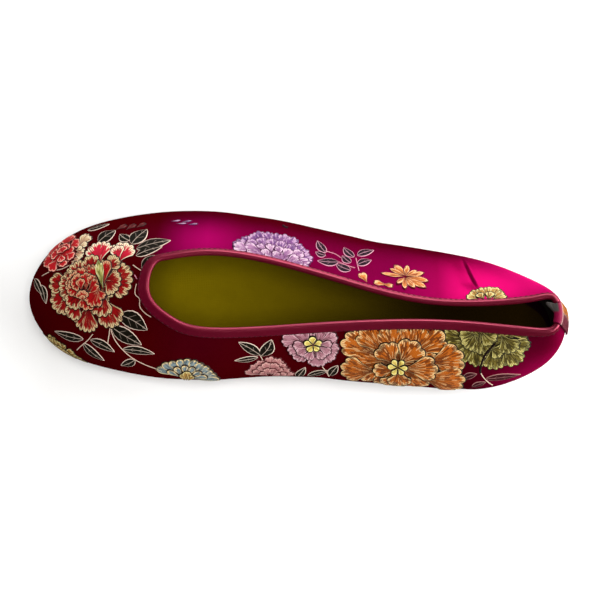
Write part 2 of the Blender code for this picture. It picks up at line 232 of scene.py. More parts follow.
# Depth below the collar along the wall at rows of climb, and climb at rows of depth, in columns round
# the shoe
wallNet = {"columns": 720, "rows": 160, "pitch": 0.25}
netClimbs = np.linspace(1, -1, wallNet["rows"] + 1)
netColumns = np.linspace(0, perimeter, wallNet["columns"] + 1)
depthNet = np.linalg.norm(np.diff(surface(netColumns[:, None], netClimbs), axis=1), axis=-1)
depthNet = np.pad(np.cumsum(depthNet, axis=1), ((0, 0), (1, 0)))
netDepths = np.arange(wallNet["rows"] + 1) * wallNet["pitch"]
climbNet = np.array([np.interp(netDepths, run, netClimbs) for run in depthNet])


def readNet(net, around, row):
    # bilinear reading
    columns, rows = wallNet["columns"], wallNet["rows"]
    column = np.mod(around, perimeter) / perimeter * columns
    row = np.clip(row, 0, rows - nudge)
    left, top = np.minimum(column.astype(int), columns - 1), np.asarray(row).astype(int)
    x, y = column - left, row - top
    upper = net[left, top] * (1 - x) + net[left + 1, top] * x
    lower = net[left, top + 1] * (1 - x) + net[left + 1, top + 1] * x
    return upper * (1 - y) + lower * y


def climbAt(around, depth):
    # climb at a depth below the collar
    return readNet(climbNet, around, depth / wallNet["pitch"])


def depthAt(around, climb):
    # depth below the collar at a climb
    return readNet(depthNet, around, (1 - climb) * wallNet["rows"] / 2)


# Meshes and materials


def vectors(*parts):
    # one vector for each point, from three parts that fill out to the same grid
    return np.stack(np.broadcast_arrays(*parts), axis=-1).reshape(-1, 3)


def runAlong(points):
    # the length of a line from its start to each of its points
    return np.concatenate([[0], np.cumsum(np.linalg.norm(np.diff(points, axis=0), axis=-1))])


def gridFaces(columns, rows, closeColumns=False, closeRows=False, count=1):
    # quads of count grids of columns x rows points, first along the columns, then up the rows
    column = np.arange(columns if closeColumns else columns - 1)[:, None]
    row = np.arange(rows if closeRows else rows - 1)[None, :]
    nextColumn, nextRow = (column + 1) % columns, (row + 1) % rows
    corners = ((column, row), (nextColumn, row), (nextColumn, nextRow), (column, nextRow))
    quads = np.stack([across * rows + up for across, up in corners], axis=-1).reshape(-1, 4)
    return (quads[None] + np.arange(count)[:, None, None] * columns * rows).reshape(-1, 4)


def addMesh(name, points, faces, material, attributes=None):
    # points in mm, faces as an array of quads, attributes as one value or vector for each point
    mesh = bpy.data.meshes.new(name)
    points = np.asarray(points, float).reshape(-1, 3)
    mesh.vertices.add(len(points))
    mesh.vertices.foreach_set("co", (points * toMetres).ravel())
    mesh.loops.add(faces.size)
    mesh.loops.foreach_set("vertex_index", faces.ravel().astype(np.int32))
    mesh.polygons.add(len(faces))
    mesh.polygons.foreach_set("loop_start", np.arange(0, faces.size, 4, dtype=np.int32))
    mesh.update(calc_edges=True)
    for label, values in (attributes or {}).items():
        values = np.asarray(values, float)
        single = values.ndim == 1
        layer = mesh.attributes.new(label, "FLOAT" if single else "FLOAT_VECTOR", "POINT")
        layer.data.foreach_set("value" if single else "vector", values.ravel())
    mesh.shade_smooth()
    mesh.validate()
    mesh.materials.append(material)
    piece = bpy.data.objects.new(name, mesh)
    bpy.context.scene.collection.objects.link(piece)
    return piece


def mount(piece, node):
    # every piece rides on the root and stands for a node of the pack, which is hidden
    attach(piece, "root")
    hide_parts(node)


def placed(right, up, back, place):
    # the matrix of an object with these axes at a place in mm
    rows = np.column_stack([right, up, back, np.asarray(place) * toMetres]).tolist()
    return Matrix([*rows, (0, 0, 0, 1)])


def colour(code):
    # sRGB hex to linear
    parts = np.array([int(code[i:i + 2], 16) / 255 for i in (1, 3, 5)])
    parts = np.where(parts <= 0.04045, parts / 12.92, ((parts + 0.055) / 1.055) ** 2.4)
    return (*parts.tolist(), 1)


# Values of nodes in their order: noise has vector, scale, detail, roughness; wave has vector, scale,
# distortion, detail, detail scale; map range has value, from min and max, to min and max; mix has factor
# and two colours. nodeModes is the setting for the word after a kind, and nodeOutputs has the outputs that
# are wanted though another comes first
nodeModes = {
    "Math": "operation", "Mix": "data_type", "MapRange": "interpolation_type",
    "Attribute": "attribute_name", "TexWave": "bands_direction", "TexVoronoi": "feature",
    "TexWhiteNoise": "noise_dimensions",
}
nodeOutputs = {"Attribute": "Vector", "TexWave": "Fac"}


def addNode(tree, kind, *values, inputs=None, give=None):
    # kind may hold a mode after a space; values fill the live sockets in their order, inputs are for
    # sockets by name, and another node's output is linked. Returns the output named give, or the usual
    kind, _, mode = kind.partition(" ")
    node = tree.nodes.new("ShaderNode" + kind)
    if mode:
        setattr(node, nodeModes[kind], mode)
    give = give or nodeOutputs.get(kind)
    pairs = list(zip([socket for socket in node.inputs if socket.enabled], values))
    pairs += [(node.inputs[name], value) for name, value in (inputs or {}).items()]
    for socket, value in pairs:
        if isinstance(value, bpy.types.NodeSocket):
            tree.links.new(value, socket)
        else:
            socket.default_value = value
    return node.outputs[give] if give else next(socket for socket in node.outputs if socket.enabled)


def newMaterial(name, **values):
    # a Principled material with these uniform values, the function that adds its nodes, and its shader
    material = bpy.data.materials.new(name)
    material.use_nodes = True
    shader = material.node_tree.nodes["Principled BSDF"]
    for socket, value in values.items():
        shader.inputs[socket.replace("_", " ")].default_value = value
    return material, partial(addNode, material.node_tree), shader


def dress(shader, tone, height=None, strength=1.0, distance=0.0):
    # gives the shader a linked colour and a bump of this height; returns the bumped normal
    tree = shader.id_data
    tree.links.new(tone, shader.inputs["Base Color"])
    if height is not None:
        normal = addNode(tree, "Bump", inputs={
            "Height": height, "Strength": strength, "Distance": distance})
        tree.links.new(normal, shader.inputs["Normal"])
        return normal


wavePeriod = 0.314  # mm from band to band of a wave texture at scale 1

satin = {
    "columns": 800, "feathers": 24, "rows": 84, "backRows": 12, "thickness": 0.8,
    "warp": "#380002", "warpLight": "#420103",
    "weft": "#f01290", "paintedSheenAndRedWeft": "#de1070", "weftEdge": "#5a0024",
    "roughness": 0.40, "weavePitch": 0.45, "weaveBump": 0.12,
    # X along the shoe, share of weft that mirrors the lamps, share of painted sheen: magenta mixed into the
    # cloth's own colour
    "weftAlong": [
        (-75, 0.01, 0), (-63, 0.02, 0), (-50, 0.16, 0), (-40, 0.20, 0), (-25, 0.10, 0), (0, 0.06, 0),
        (20, 0.06, 0), (45, 0.08, 0), (62, 0.16, 0), (72, 0.38, 0.02), (84, 0.44, 0.30), (95, 0.42, 0.66),
        (105, 0.42, 0.82), (112, 0.38, 0.55), (119, 0.30, 0.20)],
    "weftFront": (0.25, 1.4), "weftRear": (0.75, 1.3),  # factors low and high on the wall
    "weftClimb": (0.1, 0.9), "frontToRear": (-25, 20),  # climb from low to high, X from front to rear
    "innerSide": (0, 16), "weftInner": (0.6, 0.04),  # mm past the middle, and what is left of both shares
    # painted sheen on the inner side of the heel: low on the wall along X, and a part of it up the back
    "heelPaintedSheen": 0.16, "heelAlong": (80, 106), "heelClimb": (0.15, 0.7),
    "backPaintedSheen": 0.6, "backAlong": (110, 119),
    "redAlong": (35, 75),  # X along which the mirrored weft takes on the redder hue that the painted sheen also uses
}


def addSilkGloss(add, shader, share, tint, edge, roughness, normal):
    # a coloured reflection mixed over a matt shader: silk that lights up only where it mirrors a lamp
    gloss = add("BsdfPrincipled", inputs={
        "Base Color": tint, "Specular Tint": colour(edge), "Metallic": 1.0, "Roughness": roughness,
        "Normal": normal})
    both = add("MixShader", share, shader.outputs["BSDF"], gloss)
    tree = shader.id_data
    tree.links.new(both, tree.nodes["Material Output"].inputs["Surface"])


def satinMaterial():
    # shot silk: a matt maroon warp under a magenta weft, which shows most round the outer side of the heel;
    # the magenta mixed into the matt colour round the heel is painted sheen
    material, add, shader = newMaterial("maroonSatin", Roughness=0.6, IOR=1.5, Specular_IOR_Level=0.0)
    cloth = add("Attribute cloth")
    silk = add("Attribute silk")
    mirrored, paintedSheen, redder = add("SeparateXYZ", silk).node.outputs
    broad = add("TexNoise", cloth, 0.05, 2.0)
    warp = add("Mix RGBA", broad, colour(satin["warp"]), colour(satin["warpLight"]))
    # painted sheen: magenta mixed into the matt warp where that share is high
    tone = add("Mix RGBA", paintedSheen, warp, colour(satin["paintedSheenAndRedWeft"]))
    threads = add("TexWave Y", cloth, wavePeriod / satin["weavePitch"], 1.2, 1.0, 0.3)
    slubs = add("TexNoise", cloth, 0.35, 3.0)
    height = add("Math ADD", threads, slubs)
    normal = dress(shader, tone, height, satin["weaveBump"], 0.0003)
    weft = add("Mix RGBA", redder, colour(satin["weft"]), colour(satin["paintedSheenAndRedWeft"]))
    addSilkGloss(add, shader, mirrored, weft, satin["weftEdge"], satin["roughness"], normal)
    return material


def plainCloth(name, dark, light, roughness, pitch, bumpSize, **values):
    # a matt woven cloth: two tones in slow patches and a crossed weave of this pitch in mm and depth in m.
    # Also returns its tone and normal, for what is laid over them
    material, add, shader = newMaterial(name, Roughness=roughness, IOR=1.45, **values)
    cloth = add("Attribute cloth")
    broad = add("TexNoise", cloth, 0.12, 4.0, 0.65)
    tone = add("Mix RGBA", broad, colour(dark), colour(light))
    weave = [add("TexWave " + way, cloth, wavePeriod / pitch, 0.6, 1.0) for way in "XY"]
    normal = dress(shader, tone, add("Math MULTIPLY", *weave), 0.35, bumpSize)
    return material, add, shader, tone, normal


# The upper: creased satin over its lining


def wallSweep(columns, *sides):
    # closed sections swept round the shoe, each side with its climbs and its offset from the wall: points,
    # climbs, faces and the weave's coordinates
    around = np.linspace(0, perimeter, columns, endpoint=False)[:, None]
    points = np.concatenate([skin(around, climbs[None, :], offset) for climbs, offset in sides], axis=1)
    climbs = np.concatenate([climbs for climbs, offset in sides])[None, :]
    faces = gridFaces(columns, points.shape[1], closeColumns=True, closeRows=True)
    return points, climbs, faces, vectors(around, climbs * shoe["clothRise"], 0.0)


def makeSatin():
    # the creased outer face up, then its inner face down; the share of mirroring weft and the painted sheen
    # follow X, climb and side
    feathers = np.linspace(-2, 0, satin["feathers"], endpoint=False)
    up = np.concatenate([feathers, np.linspace(0, 1, satin["rows"])])
    down = np.linspace(1, -2, satin["backRows"])
    points, climbs, faces, cloth = wallSweep(satin["columns"], (up, 0), (down, -satin["thickness"]))
    along = points[..., 0]
    inner = smooth(-points[..., 1], *satin["innerSide"])
    places, mirrored, paintedSheen = np.array(satin["weftAlong"], float).T
    front, rear = (low + (high - low) * smooth(climbs, *satin["weftClimb"]) for low, high in (
        satin["weftFront"], satin["weftRear"]))
    byClimb = front + (rear - front) * smooth(along, *satin["frontToRear"])
    mirroredLeft, paintedSheenLeft = satin["weftInner"]
    mirrored = np.interp(along, places, mirrored) * byClimb * (1 - inner + inner * mirroredLeft)
    paintedSheen = np.interp(along, places, paintedSheen) * (1 - inner + inner * paintedSheenLeft)
    heel = smooth(along, *satin["heelAlong"]) * (1 - smooth(climbs, *satin["heelClimb"]))
    back = satin["backPaintedSheen"] * smooth(along, *satin["backAlong"])
    # painted sheen added round the inner heel and up the back
    paintedSheen = paintedSheen + satin["heelPaintedSheen"] * inner * np.maximum(heel, back)
    redder = np.maximum(inner, smooth(along, *satin["redAlong"]))
    marks = {"cloth": cloth, "silk": vectors(mirrored, paintedSheen, redder)}
    piece = addMesh("satinUpper", points, faces, satinMaterial(), marks)
    mount(piece, "upper")


lining = {
    "columns": 320, "rows": 60, "climbs": (-1.9, 0.995), "inset": 1.0,
    # near-black tones: painted shade inside the collar
    "dark": "#1c1612", "light": "#2c241e",
}


def makeLining():
    # the same sections, from just inside the satin to the full wall
    up = np.linspace(*lining["climbs"], lining["rows"])
    points, _, faces, cloth = wallSweep(
        lining["columns"], (up, -lining["inset"]), (up[::-1], -shoe["wall"]))
    # a twill coloured near black as painted shade, so that the inside of the collar looks shadowed
    material = plainCloth("paintedShadeTwill", lining["dark"], lining["light"], 0.9, 0.9, 0.0003)[0]
    piece = addMesh("upperLining", points, faces, material, {"cloth": cloth})
    mount(piece, "upper")


makeSatin()
makeLining()
print("stage: satin and lining")

# The collar tape, its stitches and the back strip

tape = {
    # share of the way round from the back, outer side first; reach below the collar (mm)
    "reach": [
        (0, 2.0), (0.05, 1.0), (0.15, 1.4), (0.32, 1.5), (0.41, 2.1), (0.46, 3.0), (0.52, 3.8), (0.60, 3.8),
        (0.70, 3.5), (0.80, 3.2), (0.93, 3.0), (1, 2.0)],
    "inside": 3.1, "gap": 0.05, "thickness": 0.45, "columns": 560, "stripGap": 0.6, "clothWidth": 20,
    "dark": "#500016", "light": "#60021e",
    "gloss": "#ff7894", "glossEdge": "#803040", "glossRoughness": 0.30,
    "glossShare": (0.10, 0.24), "glossAlong": (-62, -25),  # at the throat and the quarters, X between
    "glossNear": (0.5, 1.4), "nearSide": (0, 8),  # factors beside and on the fold, mm past the middle
    "crownRow": 16, "crownWidth": 3,
    "stitchPitch": 2.3, "stitchLength": 1.35, "stitchWidth": 0.45, "stitchHeight": 0.16, "stitchLift": 0.01,
    "stitchIn": 0.5, "stitchGrid": (7, 5), "stitchFrom": 1, "edgeSteps": 2000, "stitch": "#420413",
}
strip = {
    "columns": 41, "width": 10, "outside": 24, "inside": 9, "thickness": 0.9,
    "gold": "#8e5010", "deep": "#200a08", "cream": "#7a5a52", "ground": "#561424", "reverse": "#46423f",
    "lap": "#7c0634", "seam": "#b48e8a",
    "creamFrom": 0.2, "goldFrom": 1.0, "petalBend": 9.0, "lineGap": 2.2, "weavePitch": 0.5,
    "seamRow": 14, "seamShare": 0.6, "reverseRow": 17, "reverseAcross": (0.1, 0.35),
    "tailRow": 20, "tailReach": 3.0, "tailShift": 1.0, "tailAcross": (0.1, 0.8),
}
foldRows = {"outer": 13, "edge": 11, "inner": 9}
hem = {"share": 0.3, "width": 0.5}  # thickness left at a cut edge, and how far in it is whole


def tapeDepth(around):
    # the tape's reach below the collar, straight between the rows of its table
    places, reach = np.array(tape["reach"], float).T
    return np.interp(np.mod(around, perimeter) / perimeter, places, reach)


def foldedTape(places, outerDepth, innerDepth, gap, thickness):
    # one layer folded over the collar: up the outer face, round a half circle, down the inner face, then
    # back along its underside. places gives the distance round the shoe at each depth
    wall = shoe["wall"]
    outer = outerDepth * np.linspace(1, 0, foldRows["outer"])[None, :]
    inner = np.linspace(0, innerDepth, foldRows["inner"])[None, :]
    aroundOut, aroundIn, edge = places(outer), places(inner), places(np.zeros((1, 1)))
    top = np.ones_like(edge)
    angle = np.linspace(0, math.pi, foldRows["edge"] + 2)[None, 1:-1, None]
    arc = np.cos(angle) * outward(edge, top) + np.sin(angle) * upward(edge, top - 2 * nudge)
    layers = []
    for thick in (thickness, 0):
        risen, sunk = (
            gap + thick * (hem["share"] + (1 - hem["share"]) * smooth(toEdge, 0, hem["width"]))[..., None]
            for toEdge in (outerDepth - outer, innerDepth - inner))
        layers.append(np.concatenate([
            shell(aroundOut, climbAt(aroundOut, outer + 0 * aroundOut), risen),
            shell(edge, top, -wall / 2) + (wall / 2 + gap + thick) * arc,
            shell(aroundIn, climbAt(aroundIn, inner + 0 * aroundIn), -wall - sunk)], axis=1))
    return np.concatenate([layers[0], layers[1][:, ::-1]], axis=1)


def foldedFaces(columns, rows):
    # the sweep, and at each end a row of quads between the layer's two faces
    low = np.arange(rows // 2 - 1)
    cap = np.stack([low, low + 1, rows - 2 - low, rows - 1 - low], axis=1)
    return np.concatenate([
        gridFaces(columns, rows, closeRows=True), cap, cap[:, ::-1] + (columns - 1) * rows])


def foldStep(rows):
    # the row counted from the outer cut edge, the same on both faces of the layer
    return np.minimum(np.arange(rows), rows - 1 - np.arange(rows))[None, :]


def stripReach(depth):
    # half the strip's width as a distance round the outline at a depth below the collar
    climb = climbAt(np.zeros_like(depth), depth)
    side = surface(0.5, climb) - surface(-0.5, climb)
    return strip["width"] / 2 / np.linalg.norm(side, axis=-1)


tapeStart = float(stripReach(np.array([0.0]))[0]) + tape["stripGap"]


def makeTape():
    # the fold all the way round; its gloss grows from the throat to the quarters and on the near fold
    around = np.linspace(tapeStart, perimeter - tapeStart, tape["columns"])[:, None]
    points = foldedTape(
        lambda depth: around + 0 * depth, tapeDepth(around), tape["inside"], tape["gap"], tape["thickness"])
    rows = points.shape[1]
    cloth = vectors(around, np.linspace(0, tape["clothWidth"], rows)[None, :], 0.0)
    material, add, shader, _, normal = plainCloth(
        "wineTape", tape["dark"], tape["light"], 0.5, 0.5, 0.0002, Specular_IOR_Level=0.1)
    gleam = add("Attribute gleam", give="Fac")
    addSilkGloss(
        add, shader, gleam, colour(tape["gloss"]), tape["glossEdge"], tape["glossRoughness"], normal)
    throat, quarters = tape["glossShare"]
    gleam = throat + (quarters - throat) * smooth(points[..., 0], *tape["glossAlong"])
    flat, crown = tape["glossNear"]
    onFold = np.exp(-(((foldStep(rows) - tape["crownRow"]) / tape["crownWidth"]) ** 2))
    near = flat + (crown - flat) * onFold
    gleam = gleam * (1 + (near - 1) * smooth(-points[..., 1], *tape["nearSide"]))
    marks = {"cloth": cloth, "gleam": gleam.ravel()}
    piece = addMesh("collarTape", points, foldedFaces(len(around), rows), material, marks)
    mount(piece, "collar_binding")


def makeStitches():
    # half ellipsoids along the tape's outer edge, spaced by the length of that edge itself
    start = tapeStart + tape["stitchFrom"]
    places = np.linspace(start, perimeter - start, tape["edgeSteps"])
    run = runAlong(shell(places, climbAt(places, tapeDepth(places) - tape["stitchIn"]), 0))
    middles = (np.arange(int(run[-1] / tape["stitchPitch"])) + 0.5) * tape["stitchPitch"]
    columns, rows = tape["stitchGrid"]
    s, t = np.linspace(-1, 1, columns)[None, :, None], np.linspace(-1, 1, rows)[None, None, :]
    around = np.interp(middles[:, None, None] + s * tape["stitchLength"] / 2, run, places) + 0 * t
    depth = tapeDepth(around) - tape["stitchIn"] + t * tape["stitchWidth"] / 2 * np.sqrt(1.02 - s**2)
    level = tape["gap"] + tape["thickness"] + tape["stitchHeight"] * (1 - s**2) * (1 - t**2)
    points = shell(around, climbAt(around, depth), level[..., None] + tape["stitchLift"])
    faces = gridFaces(columns, rows, count=len(middles))
    # a dull thread, a little darker than the tape
    material = plainCloth("wineThread", tape["stitch"], tape["stitch"], 0.6, 0.4, 0.0001)[0]
    piece = addMesh("collarStitches", points, faces, material, {"cloth": vectors(around, depth, 0.0)})
    mount(piece, "collar_binding")


def brocadeMaterial():
    # part of a flower cut across by the strip: wine ground, a cream edge, a gold petal and thin dark lines;
    # over the collar a pale seam, magenta tape inside it and the loose end's grey reverse
    material, add, shader = newMaterial("goldBrocade", Roughness=0.5, IOR=1.5, Specular_IOR_Level=0.2)
    cloth = add("Attribute cloth")
    across = add("SeparateXYZ", cloth)
    side = add("Attribute side")
    seam, lap, reverse = add("SeparateXYZ", side).node.outputs
    bent = add("TexNoise", cloth, 0.16, 2.0)
    moved = add("Math MULTIPLY_ADD", bent, strip["petalBend"], across)
    half = strip["petalBend"] / 2  # the noise is about a half on average
    cream, gold = (
        add("MapRange", moved, strip[start] + half - 0.1, strip[start] + half + 0.1)
        for start in ("creamFrom", "goldFrom"))
    lines = add("TexVoronoi DISTANCE_TO_EDGE", cloth, 1 / strip["lineGap"])
    lined = add("MapRange", lines, 0.03, 0.08, 0.7, 0.0)
    tone = colour(strip["ground"])
    for mask, shade in (
            (cream, "cream"), (gold, "gold"), (lined, "deep"), (lap, "lap"), (seam, "seam"),
            (reverse, "reverse")):
        tone = add("Mix RGBA", mask, tone, colour(strip[shade]))
    weave = add("TexWave Y", cloth, wavePeriod / strip["weavePitch"], 0.5)
    dress(shader, tone, weave, 0.4, 0.0002)
    return material


def makeBackStrip():
    # the same fold as the tape's, narrowing with the wall so that it keeps its width; its inner end stands
    # off the lining towards the outer side
    share = np.linspace(-1, 1, strip["columns"])[:, None]
    points = foldedTape(
        lambda depth: share * stripReach(depth),
        strip["outside"], strip["inside"], shoe["gap"], strip["thickness"])
    rows = points.shape[1]
    tailRows = rows // 2 - strip["tailRow"]
    fall = np.sin(math.pi * np.linspace(0, 1, tailRows) ** 0.7)
    fall = np.concatenate([np.zeros(strip["tailRow"]), fall])
    fall = np.concatenate([fall, fall[::-1]])[None, :] * smooth(share, *strip["tailAcross"])
    points[..., 0] -= strip["tailReach"] * fall
    points[..., 1] += strip["tailShift"] * fall
    step = foldStep(rows)
    seam = (step == strip["seamRow"]) * strip["seamShare"]
    lap = (step > strip["seamRow"]) + 0 * share
    reverse = (step > strip["reverseRow"]) * smooth(share, *strip["reverseAcross"])
    cloth = vectors(share * strip["width"] / 2, runAlong(points[strip["columns"] // 2])[None, :], 0.0)
    marks = {"cloth": cloth, "side": vectors(seam, lap, reverse)}
    piece = addMesh("backStrip", points, foldedFaces(strip["columns"], rows), brocadeMaterial(), marks)
    mount(piece, "back_strip")


makeTape()
makeStitches()
makeBackStrip()
print("stage: collar")

# The insole and the outsole: rings drawn in to a line along the middle

soleSteps = 29  # rows from an edge in to that line


def ringAt(around, height, offset):
    # plan points of the wall, moved by offset, at a height over the lasting margin, by halving climb
    low, high = np.full(around.shape, -1.0), np.full(around.shape, 0.6)
    for step in range(24):
        climb = (low + high) / 2
        point = shell(around, climb, offset)
        above = point[..., 2] - soleTop(point[..., 0]) - shoe["gap"] - shoe["wall"]
        low, high = np.where(above < height, climb, low), np.where(above < height, high, climb)
    return shell(around, climb, offset)[..., :2]


def drawnIn(ring):
    # from a ring towards its own spine, the middle of each pair of opposite points
    spine = (ring + np.roll(ring[::-1], 1, axis=0)) / 2
    return ring[:, None] + (spine - ring)[:, None] * np.linspace(0, 1, soleSteps + 1)[None, 1:, None]


def slab(rings, levels):
    # plan points and levels: the bottom from the spine outwards, the side rings, the top in to the spine
    plan = np.concatenate([drawnIn(rings[:, 0])[:, ::-1], rings, drawnIn(rings[:, -1])], axis=1)
    return plan, np.concatenate([np.zeros(soleSteps), levels, np.ones(soleSteps)])


def addSlab(name, plan, height, third, material):
    # the slab at these heights, and its plan and a third value as the material's coordinates
    points, cloth = (np.concatenate([plan, part[..., None]], axis=-1) for part in (height, third))
    faces = gridFaces(*plan.shape[:2], closeColumns=True)
    return addMesh(name, points, faces, material, {"cloth": cloth.reshape(-1, 3)})


insole = {
    "columns": 400, "thickness": 3, "edgeRound": 0.9, "levels": (0, 0.35, 0.75), "roundSteps": 4,
    # painted shade: between the two X of the last pair the sock is mixed towards the heel colour
    "borderWidth": 4.5, "borderFrom": 52, "paintedShadeAlong": (-60, 75),
    "dark": "#6e5e02", "light": "#7c6a04", "heel": "#2a1c03", "border": "#14010a",
}


def insoleMaterial():
    # mustard sock cloth with painted shade darkening it towards the heel, and a near-black band along its
    # edge towards the heel
    material, add, shader, ground, _ = plainCloth(
        "mustardSock", insole["dark"], insole["light"], 0.82, 0.8, 0.0002, Specular_IOR_Level=0.05)
    place = add("Attribute cloth")
    along, _, fromEdge = add("SeparateXYZ", place).node.outputs
    width, start = insole["borderWidth"], insole["borderFrom"]
    near = add("MapRange", fromEdge, width - 0.3, width + 0.3, 1.0, 0.0)
    back = add("MapRange", along, start, start + 2)
    mask = add("Math MULTIPLY", near, back)
    # painted shade, darkening the sock towards the heel
    shadeTowardsHeel = add("MapRange SMOOTHSTEP", along, *insole["paintedShadeAlong"])
    paintedShadeTone = add("Mix RGBA", shadeTowardsHeel, ground, colour(insole["heel"]))
    dress(shader, add("Mix RGBA", mask, paintedShadeTone, colour(insole["border"])))
    return material


def makeInsole():
    # side rings up to a rounded edge, then the top and the bottom drawn in to the spine
    around = np.linspace(0, perimeter, insole["columns"], endpoint=False)
    gap, thick, levels, inner = shoe["gap"], insole["thickness"], insole["levels"], inward(around)
    rings = [ringAt(around, gap + level * thick, -shoe["wall"]) + inner * 2 * gap for level in levels]
    turns = np.linspace(0, math.pi / 2, insole["roundSteps"] + 1)[1:]
    rings += [rings[-1] + inner * insole["edgeRound"] * (1 - np.cos(turn)) for turn in turns]
    rings = np.stack(rings, axis=1)
    levels = np.concatenate([levels, levels[-1] + (1 - levels[-1]) * np.sin(turns)])
    plan, levels = slab(rings, levels)
    height = soleTop(plan[..., 0]) + shoe["wall"] + 2 * gap + levels * thick
    onTop = np.arange(len(levels)) >= len(levels) - soleSteps
    fromEdge = np.linalg.norm(plan - rings[:, -1:], axis=-1) * onTop
    piece = addSlab("insoleSock", plan, height, fromEdge, insoleMaterial())
    mount(piece, "insole")


outsole = {
    "columns": 400, "overhang": 0.9, "sideRound": 0.6, "ribPitch": 2.2,
    "levels": (0, 0.05, 0.2, 0.5, 0.8, 0.92, 1),
    "rounding": (1, 0.4, 0, 0, 0, 0.2, 0.75),  # shares of sideRound at these levels
    "dark": "#2c1d17", "light": "#3d2a20",
}


def rubberMaterial():
    # matt brown rubber with fine ribs across the tread
    material, add, shader = newMaterial("brownRubber", Roughness=0.7, IOR=1.52)
    cloth = add("Attribute cloth")
    broad = add("TexNoise", cloth, 0.3, 5.0)
    tone = add("Mix RGBA", broad, colour(outsole["dark"]), colour(outsole["light"]))
    ribs = add("TexWave X", cloth, wavePeriod / outsole["ribPitch"])
    under = add("SeparateXYZ", cloth, give="Z")
    height = add("Math MULTIPLY", ribs, under)
    dress(shader, tone, add("Math MULTIPLY_ADD", broad, 0.15, height), 0.6, 0.0006)
    return material


def makeOutsole():
    # the feather line moved out by the overhang, with a rounded side, between the sole's two heights
    around = np.linspace(0, perimeter, outsole["columns"], endpoint=False)
    row = section(around)
    outline, feather = row[:, None, 0:2], row[:, 5, None]
    beyond = outsole["overhang"] - outsole["sideRound"] * np.array(outsole["rounding"])
    rings = outline + inward(around)[:, None] * (feather - beyond)[..., None]
    plan, levels = slab(rings, outsole["levels"])
    low, high = soleBottom(plan[..., 0]), soleTop(plan[..., 0])
    under = np.broadcast_to((levels == 0) * 1.0, low.shape)
    piece = addSlab("outsoleRubber", plan, low + levels * (high - low), under, rubberMaterial())
    mount(piece, "outsole")


makeInsole()
makeOutsole()
print("stage: insole and outsole")

# The camera stands where the photograph's did: photoCentre is the picture's pixel at the frame's middle

viewer = {
    "target": (1.9, -0.55, 15.0), "elevation": 82.0, "distance": 600.0, "roll": 2.3,
    "focal": 1317.0, "photoCentre": (300.0, 379.0), "photoWidth": 600, "sensor": 36,
}
elevation, roll = math.radians(viewer["elevation"]), math.radians(viewer["roll"])
towardsEye = np.array([0, -math.cos(elevation), math.sin(elevation)])
flatRight = np.array([1.0, 0, 0])
flatUp = np.cross(towardsEye, flatRight)
pageRight = math.cos(roll) * flatRight + math.sin(roll) * flatUp
pageUp = math.cos(roll) * flatUp - math.sin(roll) * flatRight
eye = np.array(viewer["target"]) + viewer["distance"] * towardsEye


def makeCamera():
    # the lens turns the focal length in pixels into mm of the sensor
    data = bpy.data.cameras.new("camera")
    data.sensor_width = viewer["sensor"]
    data.lens = viewer["focal"] * viewer["sensor"] / viewer["photoWidth"]
    camera = bpy.data.objects.new("camera", data)
    camera.matrix_world = placed(pageRight, pageUp, towardsEye, eye)
    bpy.context.scene.collection.objects.link(camera)
    bpy.context.scene.camera = camera


makeCamera()

# Embroidery. Each motif is drawn in mm on a plane that touches the wall at the motif's own place, and then
# laid on the wall. Places are read off enlargements of the photograph: for each enlargement, the
# photograph's pixel at its top left corner and its scale.

enlargements = {
    "photo": (0, 0, 1), "toe": (25, 295, 8.711), "nearFront": (150, 395, 8.25),
    "nearRear": (320, 385, 6.03), "farFront": (200, 280, 7.84), "farRear": (380, 320, 7.84),
}


def pixels(view, places):
    # from an enlargement's pixels to the photograph's
    left, top, scale = enlargements[view]
    return np.asarray(places, float).reshape(-1, 2) / scale + (left, top)


def project(points):
    # the pixels at which the photograph shows these points
    away = points - eye
    depth = -(away @ towardsEye)
    place = np.stack([away @ pageRight, -(away @ pageUp)], axis=-1)
    return place / depth[..., None] * viewer["focal"] + viewer["photoCentre"]


solver = {
    "rounds": 10, "stepAround": 0.02, "stepClimb": 0.001, "farAround": 8, "farClimb": 0.25,
    "climbs": (-0.95, 1.3), "flat": 1e-6,
}


def newton(residual, around, climb):
    # Newton's method in two unknowns, with its slopes from small steps
    stepA, stepC, farA, farC = (solver[key] for key in ("stepAround", "stepClimb", "farAround", "farClimb"))
    for turn in range(solver["rounds"]):
        miss = residual(around, climb)
        slopeA = (residual(around + stepA, climb) - miss) / stepA
        slopeC = (residual(around, climb + stepC) - miss) / stepC
        scale = slopeA[..., 0] * slopeC[..., 1] - slopeA[..., 1] * slopeC[..., 0]
        scale = np.where(np.abs(scale) < solver["flat"], solver["flat"], scale)
        moveA = (miss[..., 0] * slopeC[..., 1] - miss[..., 1] * slopeC[..., 0]) / scale
        moveC = (slopeA[..., 0] * miss[..., 1] - slopeA[..., 1] * miss[..., 0]) / scale
        around = around - np.clip(moveA, -farA, farA)
        climb = np.clip(climb - np.clip(moveC, -farC, farC), *solver["climbs"])
    return around, climb


# A coarse net of the wall, and the pixels at which the photograph shows it
viewNet = {"columns": 240, "rows": 40, "lowest": -0.3}
viewAround, viewClimb = (part.ravel() for part in np.meshgrid(
    np.linspace(0, perimeter, viewNet["columns"], endpoint=False),
    np.linspace(viewNet["lowest"], 1, viewNet["rows"]), indexing="ij"))
viewPoints = surface(viewAround, viewClimb)
viewHidden = ((eye - viewPoints) * outward(viewAround, viewClimb)).sum(axis=-1) < 0
viewPixels = project(viewPoints)


def onWall(places):
    # the wall's visible point at each pixel: the nearest of the coarse net, then Newton's method
    miss = np.linalg.norm(viewPixels[:, None] - places, axis=-1)
    near = np.where(viewHidden[:, None], np.inf, miss).argmin(axis=0)
    return newton(
        lambda around, climb: project(surface(around, climb)) - places, viewAround[near], viewClimb[near])


